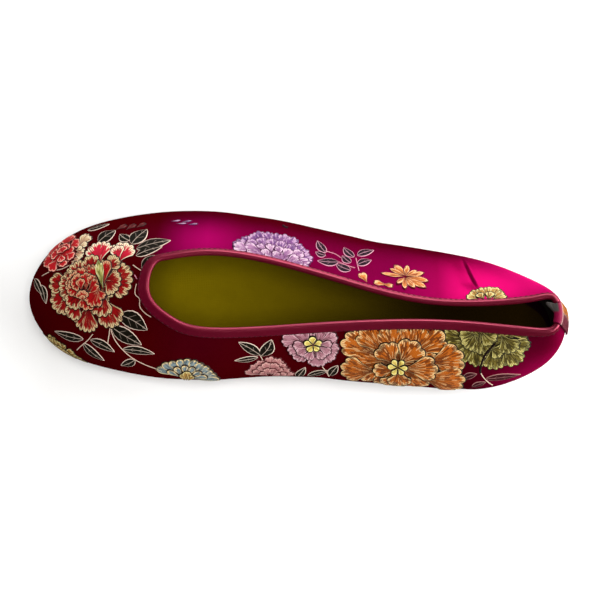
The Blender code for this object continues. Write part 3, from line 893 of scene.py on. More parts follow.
def seatAt(around, climb, heading=pageRight):
    # a touching plane: its origin, one axis along heading and one square to it
    normal = outward(around, climb)
    right = unit(heading - normal * (heading * normal).sum(axis=-1, keepdims=True))
    return {"around": around, "climb": climb, "origin": surface(around, climb),
            "right": right, "up": np.cross(normal, right)}


# mm by which a point may miss its place and reach under the tape, lowest climb, and relief beside the tape,
# on the open wall and the mm between the two
sewing = {"miss": 0.25, "underTape": 0.7, "lowest": -0.7, "edgeRelief": 0.1, "moreRelief": 2, "edgeRun": 4}


def sew(name, seat, p, q, relief, marks, material):
    # lays grids of plane points on the wall, leaves out what lies under the tape or the sole, and joins the
    # rest in one mesh; marks are vectors for the material
    def residual(around, climb):
        away = surface(around, climb) - seat["origin"]
        along, up = (away * seat["right"]).sum(axis=-1), (away * seat["up"]).sum(axis=-1)
        return np.stack([along - p, up - q], axis=-1)

    around, climb = newton(residual, seat["around"] + 0 * p, seat["climb"] + 0 * p)
    past = depthAt(around, climb) - tapeDepth(around)
    good = np.linalg.norm(residual(around, climb), axis=-1) < sewing["miss"]
    good = good & (past > -sewing["underTape"]) & (climb > sewing["lowest"])
    highest = sewing["edgeRelief"] + sewing["moreRelief"] * smooth(past, 0, sewing["edgeRun"])
    points = skin(around, climb, np.minimum(relief, highest)).reshape(-1, 3)
    grids, columns, rows = p.shape
    faces = gridFaces(columns, rows, count=grids)
    used, faces = np.unique(faces[good.ravel()[faces].all(axis=1)], return_inverse=True)
    marks = {label: value[used] for label, value in marks.items()}
    piece = addMesh(name, points[used], faces.reshape(-1, 4), material, marks)
    mount(piece, "upper")


# deep to body from a petal's base outwards, edge of its rim and teeth, line round it;
# mean length of the teeth, pitch of the floss and width of the rim in mm, share of stray stitches
silks = {
    "peonySilk": ("#4c0205", "#930509", "#d4be8e", "#1e0102", 1.5, 1.05, 0.32, 0.18),
    "peonyPinkSilk": ("#8c0614", "#c81434", "#ecdcbc", "#1e0102", 1.8, 1.15, 0.45, 0.1),
    "tongueSilk": ("#4c5414", "#b4ac60", "#e6dca4", "#1e0102", 1.2, 0.9, 0.3, 0.3),
    "smallOrangeSilk": ("#7c3010", "#c47428", "#ecb680", "#5a0a18", 1.0, 0.8, 0.3, 0.3),
    "dimSilk": ("#36020a", "#520a10", "#7c342e", "#220102", 0.8, 0.8, 0.3, 0.3),
    "peonyHeartSilk": ("#640306", "#aa080e", "#d0a078", "#1e0102", 1.0, 1.0, 0.3, 0.12),
    "coralSilk": ("#860409", "#c01620", "#f0aa96", "#460408", 0.5, 1.0, 0.4, 0.08),
    "creamSilk": ("#8c4038", "#cdb084", "#e8d6b0", "#2c0406", 1.2, 0.9, 0.4, 0.2),
    "orangeSilk": ("#421604", "#ba5e0c", "#e2bc80", "#0f0401", 1.3, 0.95, 0.36, 0.36),
    "yellowSilk": ("#9c7818", "#d6c060", "#efe490", "#0f0401", 0.6, 0.8, 0.3, 0.08),
    "limeSilk": ("#221a06", "#6c5e1e", "#c2b66c", "#0d0a06", 1.4, 0.85, 0.34, 0.4),
    "roseSilk": ("#6c3a42", "#aa7480", "#d2a8ae", "#2c0612", 0.9, 0.85, 0.35, 0.28),
    "carnationSilk": ("#7a4044", "#b07472", "#d4a29a", "#4a1218", 0.8, 0.85, 0.3, 0.26),
    "blueSilk": ("#3c5058", "#84969a", "#ecd094", "#241410", 0.8, 0.85, 0.45, 0.36),
    "lilacSilk": ("#461458", "#744278", "#bc98b2", "#4c0a42", 1.5, 0.85, 0.3, 0.38),
    "lilacPaleSilk": ("#683468", "#9c6e90", "#ccb0c0", "#4c0a42", 1.5, 0.85, 0.3, 0.32),
    "goldSilk": ("#5c3a10", "#a87c30", "#d8c884", "#1c0a03", 1.0, 0.8, 0.35, 0.3),
}


def silkMaterial(name):
    # floss laid in stripes from a petal's base, a pale rim with teeth of uneven length behind it,
    # stray stitches of other tones and a dark outline
    deep, body, edge, line, teeth, pitch, rim, stray = silks[name]
    material, add, shader = newMaterial(name, Roughness=0.55, IOR=1.5, Specular_IOR_Level=0.25)
    thread = add("Attribute thread")
    across, tip, side = add("SeparateXYZ", thread).node.outputs
    petal = add("Attribute petal")
    number, share, _ = add("SeparateXYZ", petal).node.outputs
    stripe = add("Math MULTIPLY", across, 1 / pitch)
    cell = add("Math FLOOR", stripe)
    chance = add("TexWhiteNoise 2D", add("CombineXYZ", cell, number))
    ridge = add("Math PINGPONG", stripe, 0.5)
    floss = add("MapRange", ridge, 0.08, 0.2)
    toothLength = add("MapRange", chance, 0.0, 1.0, 0.5 * teeth, 1.5 * teeth)
    behind = add("Math SUBTRACT", toothLength, tip)
    tooth = add("MapRange", behind, -0.2, 0.2)
    striped = add("Math MULTIPLY", tooth, floss)
    nearest = add("Math MINIMUM", tip, side)
    rimmed = add("MapRange", nearest, rim - 0.1, rim + 0.1, 1.0, 0.0)
    pale = add("Math MAXIMUM", striped, rimmed)
    heart = add("MapRange", share, 0.15, 0.75)
    vary = add("Math MULTIPLY_ADD", chance, 0.3, heart)
    rows = add("Math MULTIPLY", chance, 5.0)
    row = add("Math FLOOR", add("Math MULTIPLY_ADD", tip, 0.45, rows))
    lot = add("TexWhiteNoise 3D", add("CombineXYZ", cell, number, row))
    darkStray = add("Math LESS_THAN", lot, stray)
    paleStray = add("Math GREATER_THAN", lot, 1 - stray / 2)
    paleStray = add("Math MULTIPLY", paleStray, floss)
    groove = add("Math SUBTRACT", 1.0, floss)
    outside = add("MapRange", nearest, -0.02, 0.04, 1.0, 0.0)
    tone = add("Mix RGBA", vary, colour(deep), colour(body))
    for mask, part, shade in (
            (groove, 0.5, deep), (paleStray, 0.6, edge), (pale, 1.0, edge), (darkStray, 0.75, deep),
            (outside, 1.0, line)):
        some = add("Math MULTIPLY", mask, part)
        tone = add("Mix RGBA", some, tone, colour(shade))
    dress(shader, tone, ridge, 0.5, 0.0002)
    return material


silkMaterials = {name: silkMaterial(name) for name in silks}
petalShape = {
    "columns": 57, "rows": 12, "outline": 0.5, "skirt": 1.15,  # outline in mm, skirt as a multiple of it
    "sideFall": 0.22, "pointFall": 0.45, "lobeDip": 0.11, "narrow": 0.6, "wholeFan": 2,
    "puff": 0.07, "outlineFall": 0.03, "tuck": -0.05,
    "drawnStep": 0.045, "ringStep": 0.2, "petalStep": 0.02,  # mm from petal to petal and from ring to ring
    "ringTurn": 4, "ringLength": (0.92, 1.05),  # chance in a ring's petals: degrees and shares
}


def sewPetals(name, silk, seat, petals, seed):
    # petals: baseP, baseQ, heading, length, spread, lobes, point, lift. Each is a fan whose reach falls off
    # towards its sides and dips between the lobes of its tip, with a sloping rim of outline round it
    shape = petalShape
    petals = np.asarray(petals, float)
    baseP, baseQ, heading, length, spread, lobes, point, lift = petals.T[:, :, None, None]
    outline, skirt = shape["outline"], shape["skirt"]
    sideStep, tipStep = outline / (0.8 * spread * length), outline / length
    u = np.linspace(-1, 1, shape["columns"])[None, :, None] * np.ones_like(length)
    rim, hem = 1 + sideStep, 1 + skirt * sideStep
    u = np.concatenate([-hem, -rim, u, rim, hem], axis=1)
    v = np.linspace(0, 1, shape["rows"])[None, None, :] * np.ones_like(length)
    v = np.concatenate([v, 1 + tipStep, 1 + skirt * tipStep], axis=2)
    beside, tip = np.minimum(np.abs(u), 1), np.minimum(v, 1)
    lobe = np.abs(np.sin(lobes * math.pi * (np.clip(u, -1, 1) + 1) / 2)) ** 0.6
    reach = length * (1 - shape["sideFall"] * beside**2.5 - shape["pointFall"] * point * beside)
    reach = reach * (1 - shape["lobeDip"] * (1 - lobe))
    opened = np.where(spread > shape["wholeFan"], 1, shape["narrow"] + (1 - shape["narrow"]) * tip)
    angle = heading - spread * u * opened
    p, q = baseP + reach * v * np.cos(angle), baseQ + reach * v * np.sin(angle)
    puff = lift + shape["puff"] * (1 - beside**2) * np.sin(0.9 * math.pi * tip)
    outside = np.maximum((np.abs(u) - 1) / sideStep, (v - 1) / tipStep)
    sloped = puff - shape["outlineFall"] * smooth(outside, 0, 1)
    relief = np.where(outside > (1 + skirt) / 2, shape["tuck"], sloped)
    thread = vectors(spread * u * length, (1 - v) * reach, (1 - np.abs(u)) * spread * length * 0.7)
    number = np.random.default_rng(seed).uniform(0, 50, len(petals))[:, None, None]
    marks = {"thread": thread, "petal": vectors(number, tip, 0 * p)}
    sew(name, seat, p, q, relief, marks, silkMaterials[silk])


def drawnPetals(seat, view, rows, floor):
    # rows of base x, y, tip x, y, spread in degrees, lobes and point, the lowest petal first
    rows = np.array([(*row, 0)[:7] for row in rows], float)
    axes = np.stack([seat["right"], seat["up"]], axis=1)
    base, tip = (
        (surface(*onWall(pixels(view, places))) - seat["origin"]) @ axes
        for places in (rows[:, 0:2], rows[:, 2:4]))
    run = tip - base
    heading, length = np.arctan2(run[:, 1], run[:, 0]), np.linalg.norm(run, axis=1)
    lift = floor + petalShape["drawnStep"] * np.arange(len(rows))
    return np.stack([*base.T, heading, length, np.radians(rows[:, 4]), *rows.T[5:7], lift], axis=1)


def ringPetals(rings, floor, seed):
    # rings of count, first and last angle, inner and outer radius, spread in degrees, lobes, the outer ring
    # first
    chance = np.random.default_rng(seed)
    jitter = petalShape["ringTurn"]
    petals = []
    for level, (count, first, last, inner, outer, spread, lobes) in enumerate(rings):
        shift = 0 if last - first >= 360 else 0.5
        places = first + (last - first) * (np.arange(count) + shift) / count
        heading, same = np.radians(places + chance.uniform(-jitter, jitter, count)), np.ones(count)
        length = (outer - inner) * chance.uniform(*petalShape["ringLength"], count)
        lift = floor + petalShape["ringStep"] * level + petalShape["petalStep"] * np.arange(count)
        petals.append(np.stack([
            inner * np.cos(heading), inner * np.sin(heading), heading, length, same * math.radians(spread),
            same * lobes, 0 * same, lift], axis=1))
    return np.concatenate(petals)


# Drawn motifs: name, silk, enlargement, middle, height of the lowest petal, and petals with
# base x, y, tip x, y, spread, lobes and, where it is pointed, point
drawn = [
    ("toeBloom", "coralSilk", "toe", (330, 310), 0.15, [
        (320, 330, 430, 300, 178, 16), (390, 270, 480, 215, 50, 4), (350, 260, 400, 175, 50, 4),
        (300, 300, 230, 290, 50, 4), (280, 350, 165, 425, 40, 4), (290, 380, 215, 480, 38, 3),
        (330, 370, 335, 445, 42, 3), (370, 330, 425, 365, 42, 3), (330, 310, 385, 245, 52, 4),
        (310, 330, 235, 345, 48, 3), (320, 340, 322, 405, 42, 3), (330, 330, 330, 275, 65, 4)]),
    ("toeBloomSide", "creamSilk", "toe", (490, 250), 0.15, [
        (400, 395, 462, 415, 34, 3), (420, 370, 485, 385, 34, 4), (430, 330, 510, 345, 34, 4),
        (440, 300, 520, 305, 30, 4), (470, 270, 545, 160, 26, 4), (480, 250, 580, 185, 24, 3),
        (465, 280, 545, 240, 28, 3), (450, 310, 500, 270, 30, 3)]),
    ("peony", "peonySilk", "toe", (560, 620), 0.2, [
        (600, 600, 600, 380, 178, 24), (700, 560, 940, 560, 52, 7), (680, 700, 790, 965, 36, 6),
        (560, 760, 525, 1008, 36, 7), (430, 660, 245, 800, 40, 5), (430, 590, 215, 585, 30, 4),
        (480, 720, 400, 895, 34, 4), (500, 580, 440, 405, 48, 7), (600, 520, 560, 350, 35, 4),
        (500, 600, 300, 640, 62, 9), (500, 620, 400, 800, 35, 5), (690, 640, 650, 875, 38, 5),
        (690, 560, 835, 600, 62, 7), (710, 470, 820, 370, 45, 5)]),
    ("peonyTop", "peonyPinkSilk", "toe", (740, 320), 0.16, [
        (800, 420, 890, 235, 46, 5), (650, 420, 645, 228, 46, 7), (820, 400, 800, 260, 30, 3)]),
    ("peonyHeart", "peonyHeartSilk", "toe", (560, 620), 0.9, [
        (580, 640, 560, 430, 30, 5), (640, 640, 600, 440, 22, 4), (510, 640, 470, 460, 34, 5),
        (500, 590, 360, 610, 66, 8), (540, 640, 590, 815, 48, 5), (480, 640, 420, 540, 50, 5),
        (500, 580, 410, 580, 75, 6), (545, 650, 540, 500, 30, 3), (600, 650, 590, 520, 30, 3),
        (500, 650, 490, 550, 34, 3), (560, 660, 640, 560, 26, 3), (560, 690, 655, 610, 24, 3),
        (665, 640, 555, 770, 36, 5), (655, 620, 640, 790, 20, 2), (640, 640, 700, 720, 30, 3),
        (700, 600, 725, 400, 20, 1), (515, 745, 510, 650, 55, 4), (515, 735, 512, 690, 60, 3)]),
    ("peonyTongue", "tongueSilk", "toe", (670, 520), 1.7, [(695, 645, 650, 395, 13, 3, 0.3)]),
    ("blueDaisy", "blueSilk", "nearFront", (290, 460), 0.15, [
        (230, 500, 62, 425, 21, 1), (240, 480, 110, 388, 21, 1), (250, 470, 175, 372, 21, 1),
        (270, 460, 245, 360, 21, 1), (290, 455, 312, 356, 21, 1), (310, 465, 378, 370, 21, 1),
        (330, 475, 432, 395, 21, 1), (340, 485, 482, 422, 21, 1), (345, 495, 512, 452, 21, 1),
        (350, 505, 545, 482, 21, 1), (350, 515, 572, 512, 21, 1), (255, 500, 150, 445, 18, 1),
        (265, 490, 215, 418, 20, 1), (290, 480, 290, 405, 22, 1), (310, 485, 360, 420, 20, 1),
        (320, 495, 420, 455, 18, 1), (325, 505, 470, 490, 21, 1)]),
    ("blueDaisyHeart", "goldSilk", "nearFront", (300, 490), 1.0, [
        (285, 520, 270, 470, 20, 1), (300, 520, 310, 450, 20, 1), (315, 520, 350, 480, 20, 1)]),
    ("carnation", "carnationSilk", "nearFront", (985, 440), 0.15, [
        (985, 485, 785, 455, 16, 3), (985, 475, 832, 405, 16, 3), (985, 465, 890, 368, 18, 3),
        (985, 455, 1000, 332, 22, 3), (985, 460, 1075, 350, 20, 3), (985, 470, 1118, 392, 18, 3),
        (985, 480, 1150, 432, 15, 3), (985, 488, 1192, 468, 12, 3), (960, 475, 850, 445, 20, 3),
        (965, 460, 900, 405, 22, 3), (975, 450, 955, 375, 26, 3), (995, 450, 1040, 382, 26, 3),
        (1005, 460, 1090, 420, 22, 3), (1010, 475, 1130, 465, 18, 3), (970, 480, 915, 452, 30, 3),
        (980, 470, 970, 420, 34, 3), (995, 470, 1030, 425, 34, 3), (1000, 480, 1072, 460, 28, 3)]),
    ("roseFlower", "roseSilk", "nearFront", (1345, 240), 0.15, [
        (1345, 240, 1470, 240, 178, 16), (1330, 260, 1160, 270, 60, 6), (1370, 270, 1510, 300, 60, 6),
        (1320, 240, 1210, 140, 40, 4), (1370, 240, 1470, 135, 40, 4), (1270, 215, 1088, 185, 32, 4),
        (1400, 210, 1540, 160, 32, 4), (1280, 250, 1140, 295, 34, 4), (1300, 270, 1200, 360, 36, 4),
        (1410, 240, 1555, 285, 32, 4), (1400, 270, 1510, 365, 36, 4), (1370, 290, 1390, 415, 42, 5),
        (1310, 235, 1180, 240, 30, 3), (1315, 255, 1215, 310, 32, 3), (1345, 265, 1300, 355, 28, 3),
        (1370, 265, 1430, 350, 28, 3), (1385, 245, 1490, 300, 26, 3), (1385, 225, 1500, 225, 24, 3)]),
    ("orangeFlower", "orangeSilk", "nearRear", (470, 360), 0.15, [
        (470, 350, 720, 350, 178, 20), (430, 345, 165, 310, 60, 6), (340, 290, 138, 188, 36, 4),
        (350, 390, 122, 385, 36, 4), (400, 300, 270, 120, 34, 4), (450, 300, 440, 120, 50, 5),
        (540, 300, 580, 110, 34, 4), (560, 300, 715, 130, 44, 4), (640, 340, 872, 325, 42, 4),
        (600, 420, 872, 470, 34, 4), (450, 400, 450, 490, 60, 5), (455, 350, 375, 225, 42, 3),
        (480, 350, 590, 215, 40, 3), (460, 380, 320, 385, 30, 3), (490, 375, 712, 375, 32, 3),
        (475, 380, 480, 470, 45, 3)]),
    ("limeFlower", "limeSilk", "nearRear", (1010, 220), 0.15, [
        (1000, 210, 1170, 210, 178, 20), (900, 190, 730, 190, 32, 4), (920, 200, 770, 270, 26, 4),
        (930, 200, 850, 335, 24, 4), (940, 200, 955, 365, 24, 4), (1040, 230, 1060, 380, 30, 5),
        (1100, 220, 1190, 350, 30, 5), (1100, 170, 1262, 150, 26, 4), (1110, 210, 1265, 240, 28, 5),
        (930, 160, 845, 190, 35, 4), (940, 160, 890, 260, 35, 4), (960, 160, 985, 285, 35, 4),
        (1030, 250, 1105, 285, 55, 5), (1090, 170, 1170, 270, 40, 5), (970, 150, 1050, 220, 40, 4)]),
    ("lilacFlower", "lilacSilk", "farFront", (560, 370), 0.12, [
        (450, 380, 262, 325, 24, 3), (460, 370, 330, 285, 22, 3), (480, 370, 400, 260, 20, 3),
        (510, 370, 455, 236, 20, 3), (550, 380, 530, 243, 19, 3), (600, 390, 600, 256, 19, 3),
        (640, 400, 668, 266, 20, 3), (670, 410, 738, 290, 20, 3), (690, 430, 792, 345, 20, 3),
        (700, 450, 848, 395, 20, 3), (700, 470, 880, 448, 19, 3), (480, 385, 375, 312, 22, 3),
        (520, 390, 470, 290, 22, 3), (570, 400, 560, 300, 22, 3), (620, 420, 640, 320, 22, 3),
        (660, 440, 735, 352, 22, 3)]),
    ("lilacFlowerFront", "lilacPaleSilk", "farFront", (560, 420), 0.75, [
        (520, 440, 370, 390, 40, 5), (600, 470, 545, 400, 60, 5), (630, 480, 640, 400, 50, 5),
        (640, 490, 800, 475, 34, 4), (430, 400, 262, 352, 22, 3), (480, 410, 355, 350, 24, 3),
        (680, 460, 805, 412, 24, 3), (690, 480, 858, 492, 20, 3), (520, 410, 455, 350, 24, 3),
        (560, 420, 540, 350, 26, 3), (610, 440, 620, 370, 26, 3), (650, 460, 700, 390, 26, 3),
        (660, 480, 770, 455, 26, 3), (560, 450, 480, 400, 30, 3), (600, 460, 590, 410, 34, 3)]),
    ("smallOrange", "smallOrangeSilk", "farRear", (195, 285), 0.15, [
        (200, 270, 115, 188, 22, 1, 0.5), (200, 270, 215, 195, 22, 1, 0.5),
        (200, 272, 80, 215, 14, 1, 0.6), (195, 280, 12, 250, 13, 1, 0.8),
        (200, 275, 285, 235, 20, 1, 0.5), (205, 278, 340, 252, 17, 1, 0.5),
        (200, 285, 374, 316, 16, 1, 0.5), (200, 290, 356, 366, 16, 1, 0.5),
        (195, 290, 270, 368, 20, 1, 0.5), (190, 290, 195, 376, 20, 1, 0.5),
        (190, 290, 135, 335, 24, 1, 0.5)]),
    ("collarGold", "goldSilk", "farRear", (830, 420), 0.12, [
        (770, 455, 682, 430, 26, 3), (790, 455, 725, 388, 26, 3), (815, 455, 790, 368, 26, 3),
        (840, 455, 860, 364, 26, 3), (865, 455, 922, 370, 26, 3), (885, 455, 962, 402, 24, 3),
        (890, 455, 992, 440, 20, 3), (810, 455, 770, 415, 34, 3), (850, 455, 870, 405, 36, 3)]),
    ("collarSprigs", "smallOrangeSilk", "farFront", (1370, 630), 0.12, [
        (1310, 640, 1262, 565, 26, 2), (1470, 662, 1365, 636, 18, 2), (1420, 650, 1510, 668, 18, 2)]),
    ("toeEdgeEnds", "goldSilk", "toe", (350, 1140), 0.2, [
        (255, 1080, 205, 1035, 30, 3), (280, 1100, 240, 1050, 30, 3), (440, 1225, 500, 1245, 24, 3),
        (460, 1240, 540, 1268, 20, 3)]),
    ("edgeLilac", "lilacSilk", "photo", (184, 301.5), 0.12, [
        (171, 300.5, 180, 299.5, 9, 1), (182, 301, 191, 300, 9, 1), (177, 303, 186, 302.5, 8, 1),
        (188, 304, 197, 303, 8, 1)]),
    ("edgeSpray", "dimSilk", "photo", (130, 305), 0.12, [
        (116, 309, 126, 304, 20, 2), (126, 309, 135, 303.5, 20, 2), (136, 307, 145, 302.5, 18, 2)]),
]

# Rings: name, silk, enlargement, middle, shift of the middle in mm, height, rings
ringed = [
    ("toeEdgeBloom", "goldSilk", "photo", (66, 425), (-6, -10.4), 0.15, [
        (13, 0, 180, 5, 12.5, 16, 2), (9, 0, 180, 1, 9, 18, 2)]),
    ("roseFlowerHeart", "yellowSilk", "nearFront", (1345, 232), (0, 0), 0.9, [
        (5, 20, 380, 0.4, 4.1, 34, 1)]),
    ("orangeFlowerHeart", "yellowSilk", "nearRear", (470, 365), (0, 0), 0.9, [
        (6, 0, 360, 0.4, 4.4, 26, 1)]),
]
drawnSeed, ringSeed = 3, 40


def makeFlowers():
    # each motif on the plane that touches the wall at the motif's middle
    for number, (name, silk, view, middle, floor, rows) in enumerate(drawn):
        seat = seatAt(*(part[0] for part in onWall(pixels(view, middle))))
        sewPetals(name, silk, seat, drawnPetals(seat, view, rows, floor), number + drawnSeed)
    for number, (name, silk, view, middle, shift, floor, rings) in enumerate(ringed):
        seat = seatAt(*(part[0] for part in onWall(pixels(view, middle))))
        petals = ringPetals(rings, floor, number)
        petals[:, :2] += shift
        sewPetals(name, silk, seat, petals, number + ringSeed)


# base x, y, tip x, y (pixels of the photograph), width, bend (mm)
leaves = {
    "creamLeaves": [
        (98.5, 320.8, 115.7, 309.3, 7.0, 0.5), (128.9, 319.7, 119.7, 313.4, 4.5, 0.3),
        (131.5, 322.6, 147.3, 308.2, 7.5, 0.4), (135.8, 334.0, 162.2, 325.1, 5.0, 0.3),
        (136.5, 327.6, 170.8, 319.1, 6.4, 0.5), (87.6, 309.3, 109.4, 303.0, 4.5, 0.3),
        (141.5, 346.7, 155.3, 334.0, 4.0, 0.5), (41.1, 363.9, 45.7, 382.8, 3.6, 0.4),
        (34.2, 357.6, 40.4, 373.1, 3.4, 0.4), (119.6, 393.6, 147.3, 409.2, 7.8, 0.8),
        (111.7, 406.5, 141.5, 424.1, 6.8, -0.1), (83.0, 418.4, 54.3, 410.4, 4.2, 0.5),
        (90.4, 419.0, 114.5, 431.0, 4.5, 0.6), (83.0, 423.0, 104.2, 440.2, 4.6, -0.5),
        (122.6, 428.2, 154.7, 432.8, 4.2, 0.6), (134.6, 439.1, 120.9, 444.8, 4.4, 0.4),
        (260.3, 433.8, 238.5, 421.1, 4.8, -0.3), (260.8, 435.0, 271.6, 418.6, 5.8, -0.9),
        (257.9, 436.2, 234.2, 439.6, 3.2, 0.4), (329.4, 455.6, 337.9, 445.3, 4.0, 0.3),
        (307.6, 455.6, 327.6, 450.8, 4.0, 0.3), (297.3, 456.2, 305.2, 448.9, 4.0, 0.3),
    ],
    "wineLeaves": [
        (463.0, 458.0, 477.0, 453.0, 3.5, 0.3), (472.0, 466.0, 486.0, 461.0, 3.5, 0.3),
        (486.0, 459.0, 521.0, 454.0, 4.5, 0.4),
    ],
    "roseLeaves": [
        (325.6, 331.7, 317.3, 319.8, 4.0, 0.4), (325.6, 334.8, 315.4, 331.0, 3.5, 0.3),
        (338.4, 341.2, 317.3, 339.9, 4.5, 0.4), (350.5, 349.5, 335.8, 343.1, 4.5, 0.4),
        (350.5, 341.9, 342.2, 334.8, 4.0, 0.3), (353.7, 336.1, 343.5, 326.6, 4.0, 0.4),
        (357.5, 334.2, 374.1, 328.5, 4.0, 0.4), (357.5, 343.8, 371.6, 338.7, 4.0, 0.4),
    ],
}
leafSilks = {  # fill, streak, edge
    "creamLeaves": ("#060403", "#1a160c", "#dcc6b4"),
    "roseLeaves": ("#0c0308", "#22081a", "#cc94a6"),
    "wineLeaves": ("#2c060e", "#42121a", "#a47470"),
}
leafShape = {
    "columns": 17, "rows": 41, "skirt": 1.1, "wave": 0.02, "waves": 14,
    "height": 0.14, "crown": 0.08, "tuck": -0.05,
}


def leafMaterial(name):
    # dark floss with a pale outline, midrib and slanting veins
    fill, streak, edge = leafSilks[name]
    material, add, shader = newMaterial(name, Roughness=0.6, IOR=1.5, Specular_IOR_Level=0.1)
    place = add("Attribute thread")
    across, along, rim = add("SeparateXYZ", place).node.outputs
    across = add("Math ABSOLUTE", across)
    slant = add("Math MULTIPLY_ADD", across, -1.0, along)
    vein = add("Math PINGPONG", slant, 1.9)
    vein, midrib, border = (
        add("MapRange", distance, half - 0.08, half + 0.08, 1.0, 0.0)
        for distance, half in ((vein, 0.09), (across, 0.09), (rim, 0.18)))
    inner = add("MapRange", rim, 0.9, 1.2)
    vein = add("Math MULTIPLY", add("Math MULTIPLY", vein, inner), 0.45)
    pale = add("Math MAXIMUM", add("Math MAXIMUM", vein, midrib), border)
    streaks = add("TexNoise", place, 1.2, 2.0)
    ground = add("Mix RGBA", streaks, colour(fill), colour(streak))
    dress(shader, add("Mix RGBA", pale, ground, colour(edge)), pale, 0.4, 0.0002)
    return material


def makeLeaves():
    # half width follows a sine that peaks nearer the base; the midline bows by bend
    skirt, shape = leafShape["skirt"], leafShape
    u = np.linspace(-skirt, skirt, shape["columns"])[None, :, None]
    v = np.linspace(0, 1, shape["rows"])[None, None, :]
    for name, rows in leaves.items():
        rows = np.array(rows, float)
        base, tip = surface(*onWall(rows[:, 0:2])), surface(*onWall(rows[:, 2:4]))
        around, climb = (part[:, None, None] for part in onWall((rows[:, 0:2] + rows[:, 2:4]) / 2))
        seat = seatAt(around, climb, (tip - base)[:, None, None])
        length = np.linalg.norm(tip - base, axis=1)[:, None, None]
        width, bend = rows.T[4:6, :, None, None]
        half = width / 2 * np.sin(math.pi * v**0.82) ** 0.8
        half = half * (1 + shape["wave"] * np.sin(shape["waves"] * math.pi * v))
        p = length * (v - 0.5) + 0 * u
        q = bend * np.sin(math.pi * v) - half * u
        crown = shape["height"] + shape["crown"] * (1 - u**2)
        relief = np.where(np.abs(u) > (1 + skirt) / 2, shape["tuck"], crown) + 0 * p
        thread = vectors(half * u, length * v, (1 - np.abs(u)) * half)
        sew(name, seat, p, q, relief, {"thread": thread}, leafMaterial(name))


# light and dark tone, width and height in mm, paths in pixels of the photograph
stems = {
    "creamStems": ("#dcc6b4", "#b0947c", 0.42, 0.1, [
        [(42, 355), (52, 350), (62, 348), (72, 343), (80, 340)],
        [(110, 407), (109, 414), (108, 422)],
        [(111, 408), (115, 419), (121, 427), (134, 438), (146, 444), (157, 448)],
        [(93, 413), (87, 420), (77, 429)],
        [(136.4, 363), (135.2, 373), (139.5, 378), (140, 386), (145.5, 392.5), (151, 396)],
        [(133, 344), (137, 347), (142, 350)],
        [(322, 446), (326, 451), (329, 456)],
        [(260, 434), (263, 440), (264, 446)],
        [(480, 450.5), (483.4, 456.3), (492.5, 463.8)],
    ]),
    "roseStems": ("#dc9aaa", "#a85a70", 0.42, 0.1, [
        [(356, 337), (357.5, 344), (359, 350)],
        [(338.4, 341), (347, 344.5), (355, 347)],
        [(325, 330), (335, 333), (341, 337)],
        [(134.5, 354), (137, 358)],
    ]),
    "darkStems": ("#1a0a08", "#100504", 0.9, 1.3, [
        [(495.8, 420.7), (485.8, 431.4), (480.9, 443), (480, 450.5)],
    ]),
    "edgeMark": ("#2a0416", "#20030f", 1.5, 0.0, [[(283, 304.5), (285, 306), (288, 306.8)]]),
}
cord = {"columns": 7, "steps": 10, "sunk": 0.3}  # steps from place to place, share below the cloth


def stemMaterial(name, light, dark):
    # a twisted thread in two tones
    material, add, shader = newMaterial(name, Roughness=0.6, IOR=1.5, Specular_IOR_Level=0.2)
    place = add("Attribute thread")
    twist = add("TexWave DIAGONAL", place, 0.5)
    dress(shader, add("Mix RGBA", twist, colour(dark), colour(light)))
    return material


def makeStems():
    # half round cords along smooth curves on the wall: Catmull-Rom through the places of each path
    s = np.linspace(-1, 1, cord["columns"])[None, :, None]
    for name, (light, dark, width, lift, paths) in stems.items():
        points, faces, threads, count = [], [], [], 0
        for path in paths:
            places = np.stack(onWall(pixels("photo", path)), axis=1)
            knots = np.concatenate([places[:1] * 2 - places[1:2], places, places[-1:] * 2 - places[-2:-1]])
            steps = np.linspace(0, len(places) - 1 - nudge, cord["steps"] * len(places))
            index, t = steps.astype(int), (steps % 1)[:, None]
            a, b, c, d = (knots[index + shift] for shift in range(4))
            bend, twist = 2 * a - 5 * b + 4 * c - d, 3 * b - a - 3 * c + d
            line = 0.5 * (2 * b + (c - a) * t + bend * t**2 + twist * t**3)
            spine, normal = skin(*line.T, lift), outward(*line.T)
            side = unit(np.cross(np.gradient(spine, axis=0), normal))
            arch = np.sqrt(np.maximum(1 - s**2, 0)) - cord["sunk"]
            around = side[:, None] * s + normal[:, None] * arch
            points.append((spine[:, None] + width / 2 * around).reshape(-1, 3))
            threads.append(vectors(runAlong(spine)[:, None], s[..., 0], 0.0))
            faces.append(gridFaces(len(spine), cord["columns"])[:, ::-1] + count)
            count += len(points[-1])
        points, faces, threads = (np.concatenate(parts) for parts in (points, faces, threads))
        piece = addMesh(name, points, faces, stemMaterial(name, light, dark), {"thread": threads})
        mount(piece, "upper")


makeFlowers()
makeLeaves()
makeStems()
print("stage: embroidery")

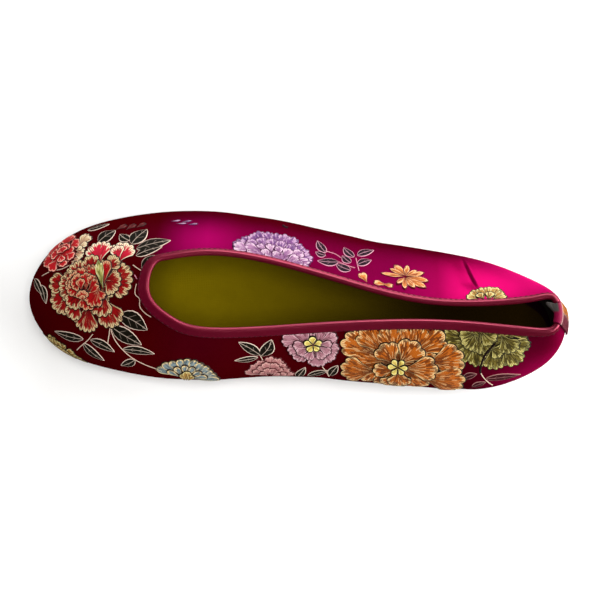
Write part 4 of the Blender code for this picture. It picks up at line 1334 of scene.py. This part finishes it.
studio = {
    "sky": "#f4f2f0", "skyStrength": 0.09, "under": "#1c1416", "horizon": (-0.1, 0.15),
    "floor": "#f7f6f4", "floorLight": "#fdfdfc", "floorHalf": 3000,
    "lamps": [  # name, direction, distance, width and height (mm), radiance
        ("overhead", (0.0, -0.12, 1.0), 1200, 700, 700, 7.0),
        ("softFar", (0.35, 1.0, 0.40), 900, 1200, 600, 4.2),
        ("softHeel", (1.0, -0.05, 0.36), 850, 1100, 560, 8.0),
    ],
}


def makeStudio():
    # an even pale sky, a soft lamp beyond the outer side and one beyond the heel, a pale floor
    world = bpy.data.worlds.new("studio")
    world.use_nodes = True
    tree = world.node_tree
    ground = tree.nodes["Background"]
    ground.inputs["Strength"].default_value = studio["skyStrength"]
    way = addNode(tree, "SeparateXYZ", addNode(tree, "TexCoord", give="Generated"), give="Z")
    high = addNode(tree, "MapRange", way, *studio["horizon"])
    sky = addNode(tree, "Mix RGBA", high, colour(studio["under"]), colour(studio["sky"]))
    tree.links.new(sky, ground.inputs["Color"])
    bpy.context.scene.world = world
    bpy.context.scene.view_settings.view_transform = "Standard"
    for name, direction, distance, width, height, radiance in studio["lamps"]:
        data = bpy.data.lights.new(name, "AREA")
        data.shape = "RECTANGLE"
        data.size, data.size_y = width * toMetres, height * toMetres
        data.energy = radiance * math.pi * data.size * data.size_y
        lamp = bpy.data.objects.new(name, data)
        away = unit(np.array(direction, float))
        side = unit(np.cross((0, 0, 1), away))
        lamp.matrix_world = placed(side, np.cross(away, side), away, away * distance)
        lamp.visible_glossy = name != "overhead"
        bpy.context.scene.collection.objects.link(lamp)
    material, add, shader = newMaterial("paleFloor", Roughness=0.9, Specular_IOR_Level=0.1)
    grain = add("TexNoise", add("TexCoord", give="Object"), 40.0, 3.0)
    tone = add("Mix RGBA", grain, colour(studio["floor"]), colour(studio["floorLight"]))
    dress(shader, tone)
    corners = studio["floorHalf"] * np.array([(-1, -1, 0), (1, -1, 0), (1, 1, 0), (-1, 1, 0)])
    floor = addMesh("floor", corners, np.array([[0, 1, 2, 3]]), material)
    floor.visible_glossy = False


makeStudio()
print("stage: camera and light")
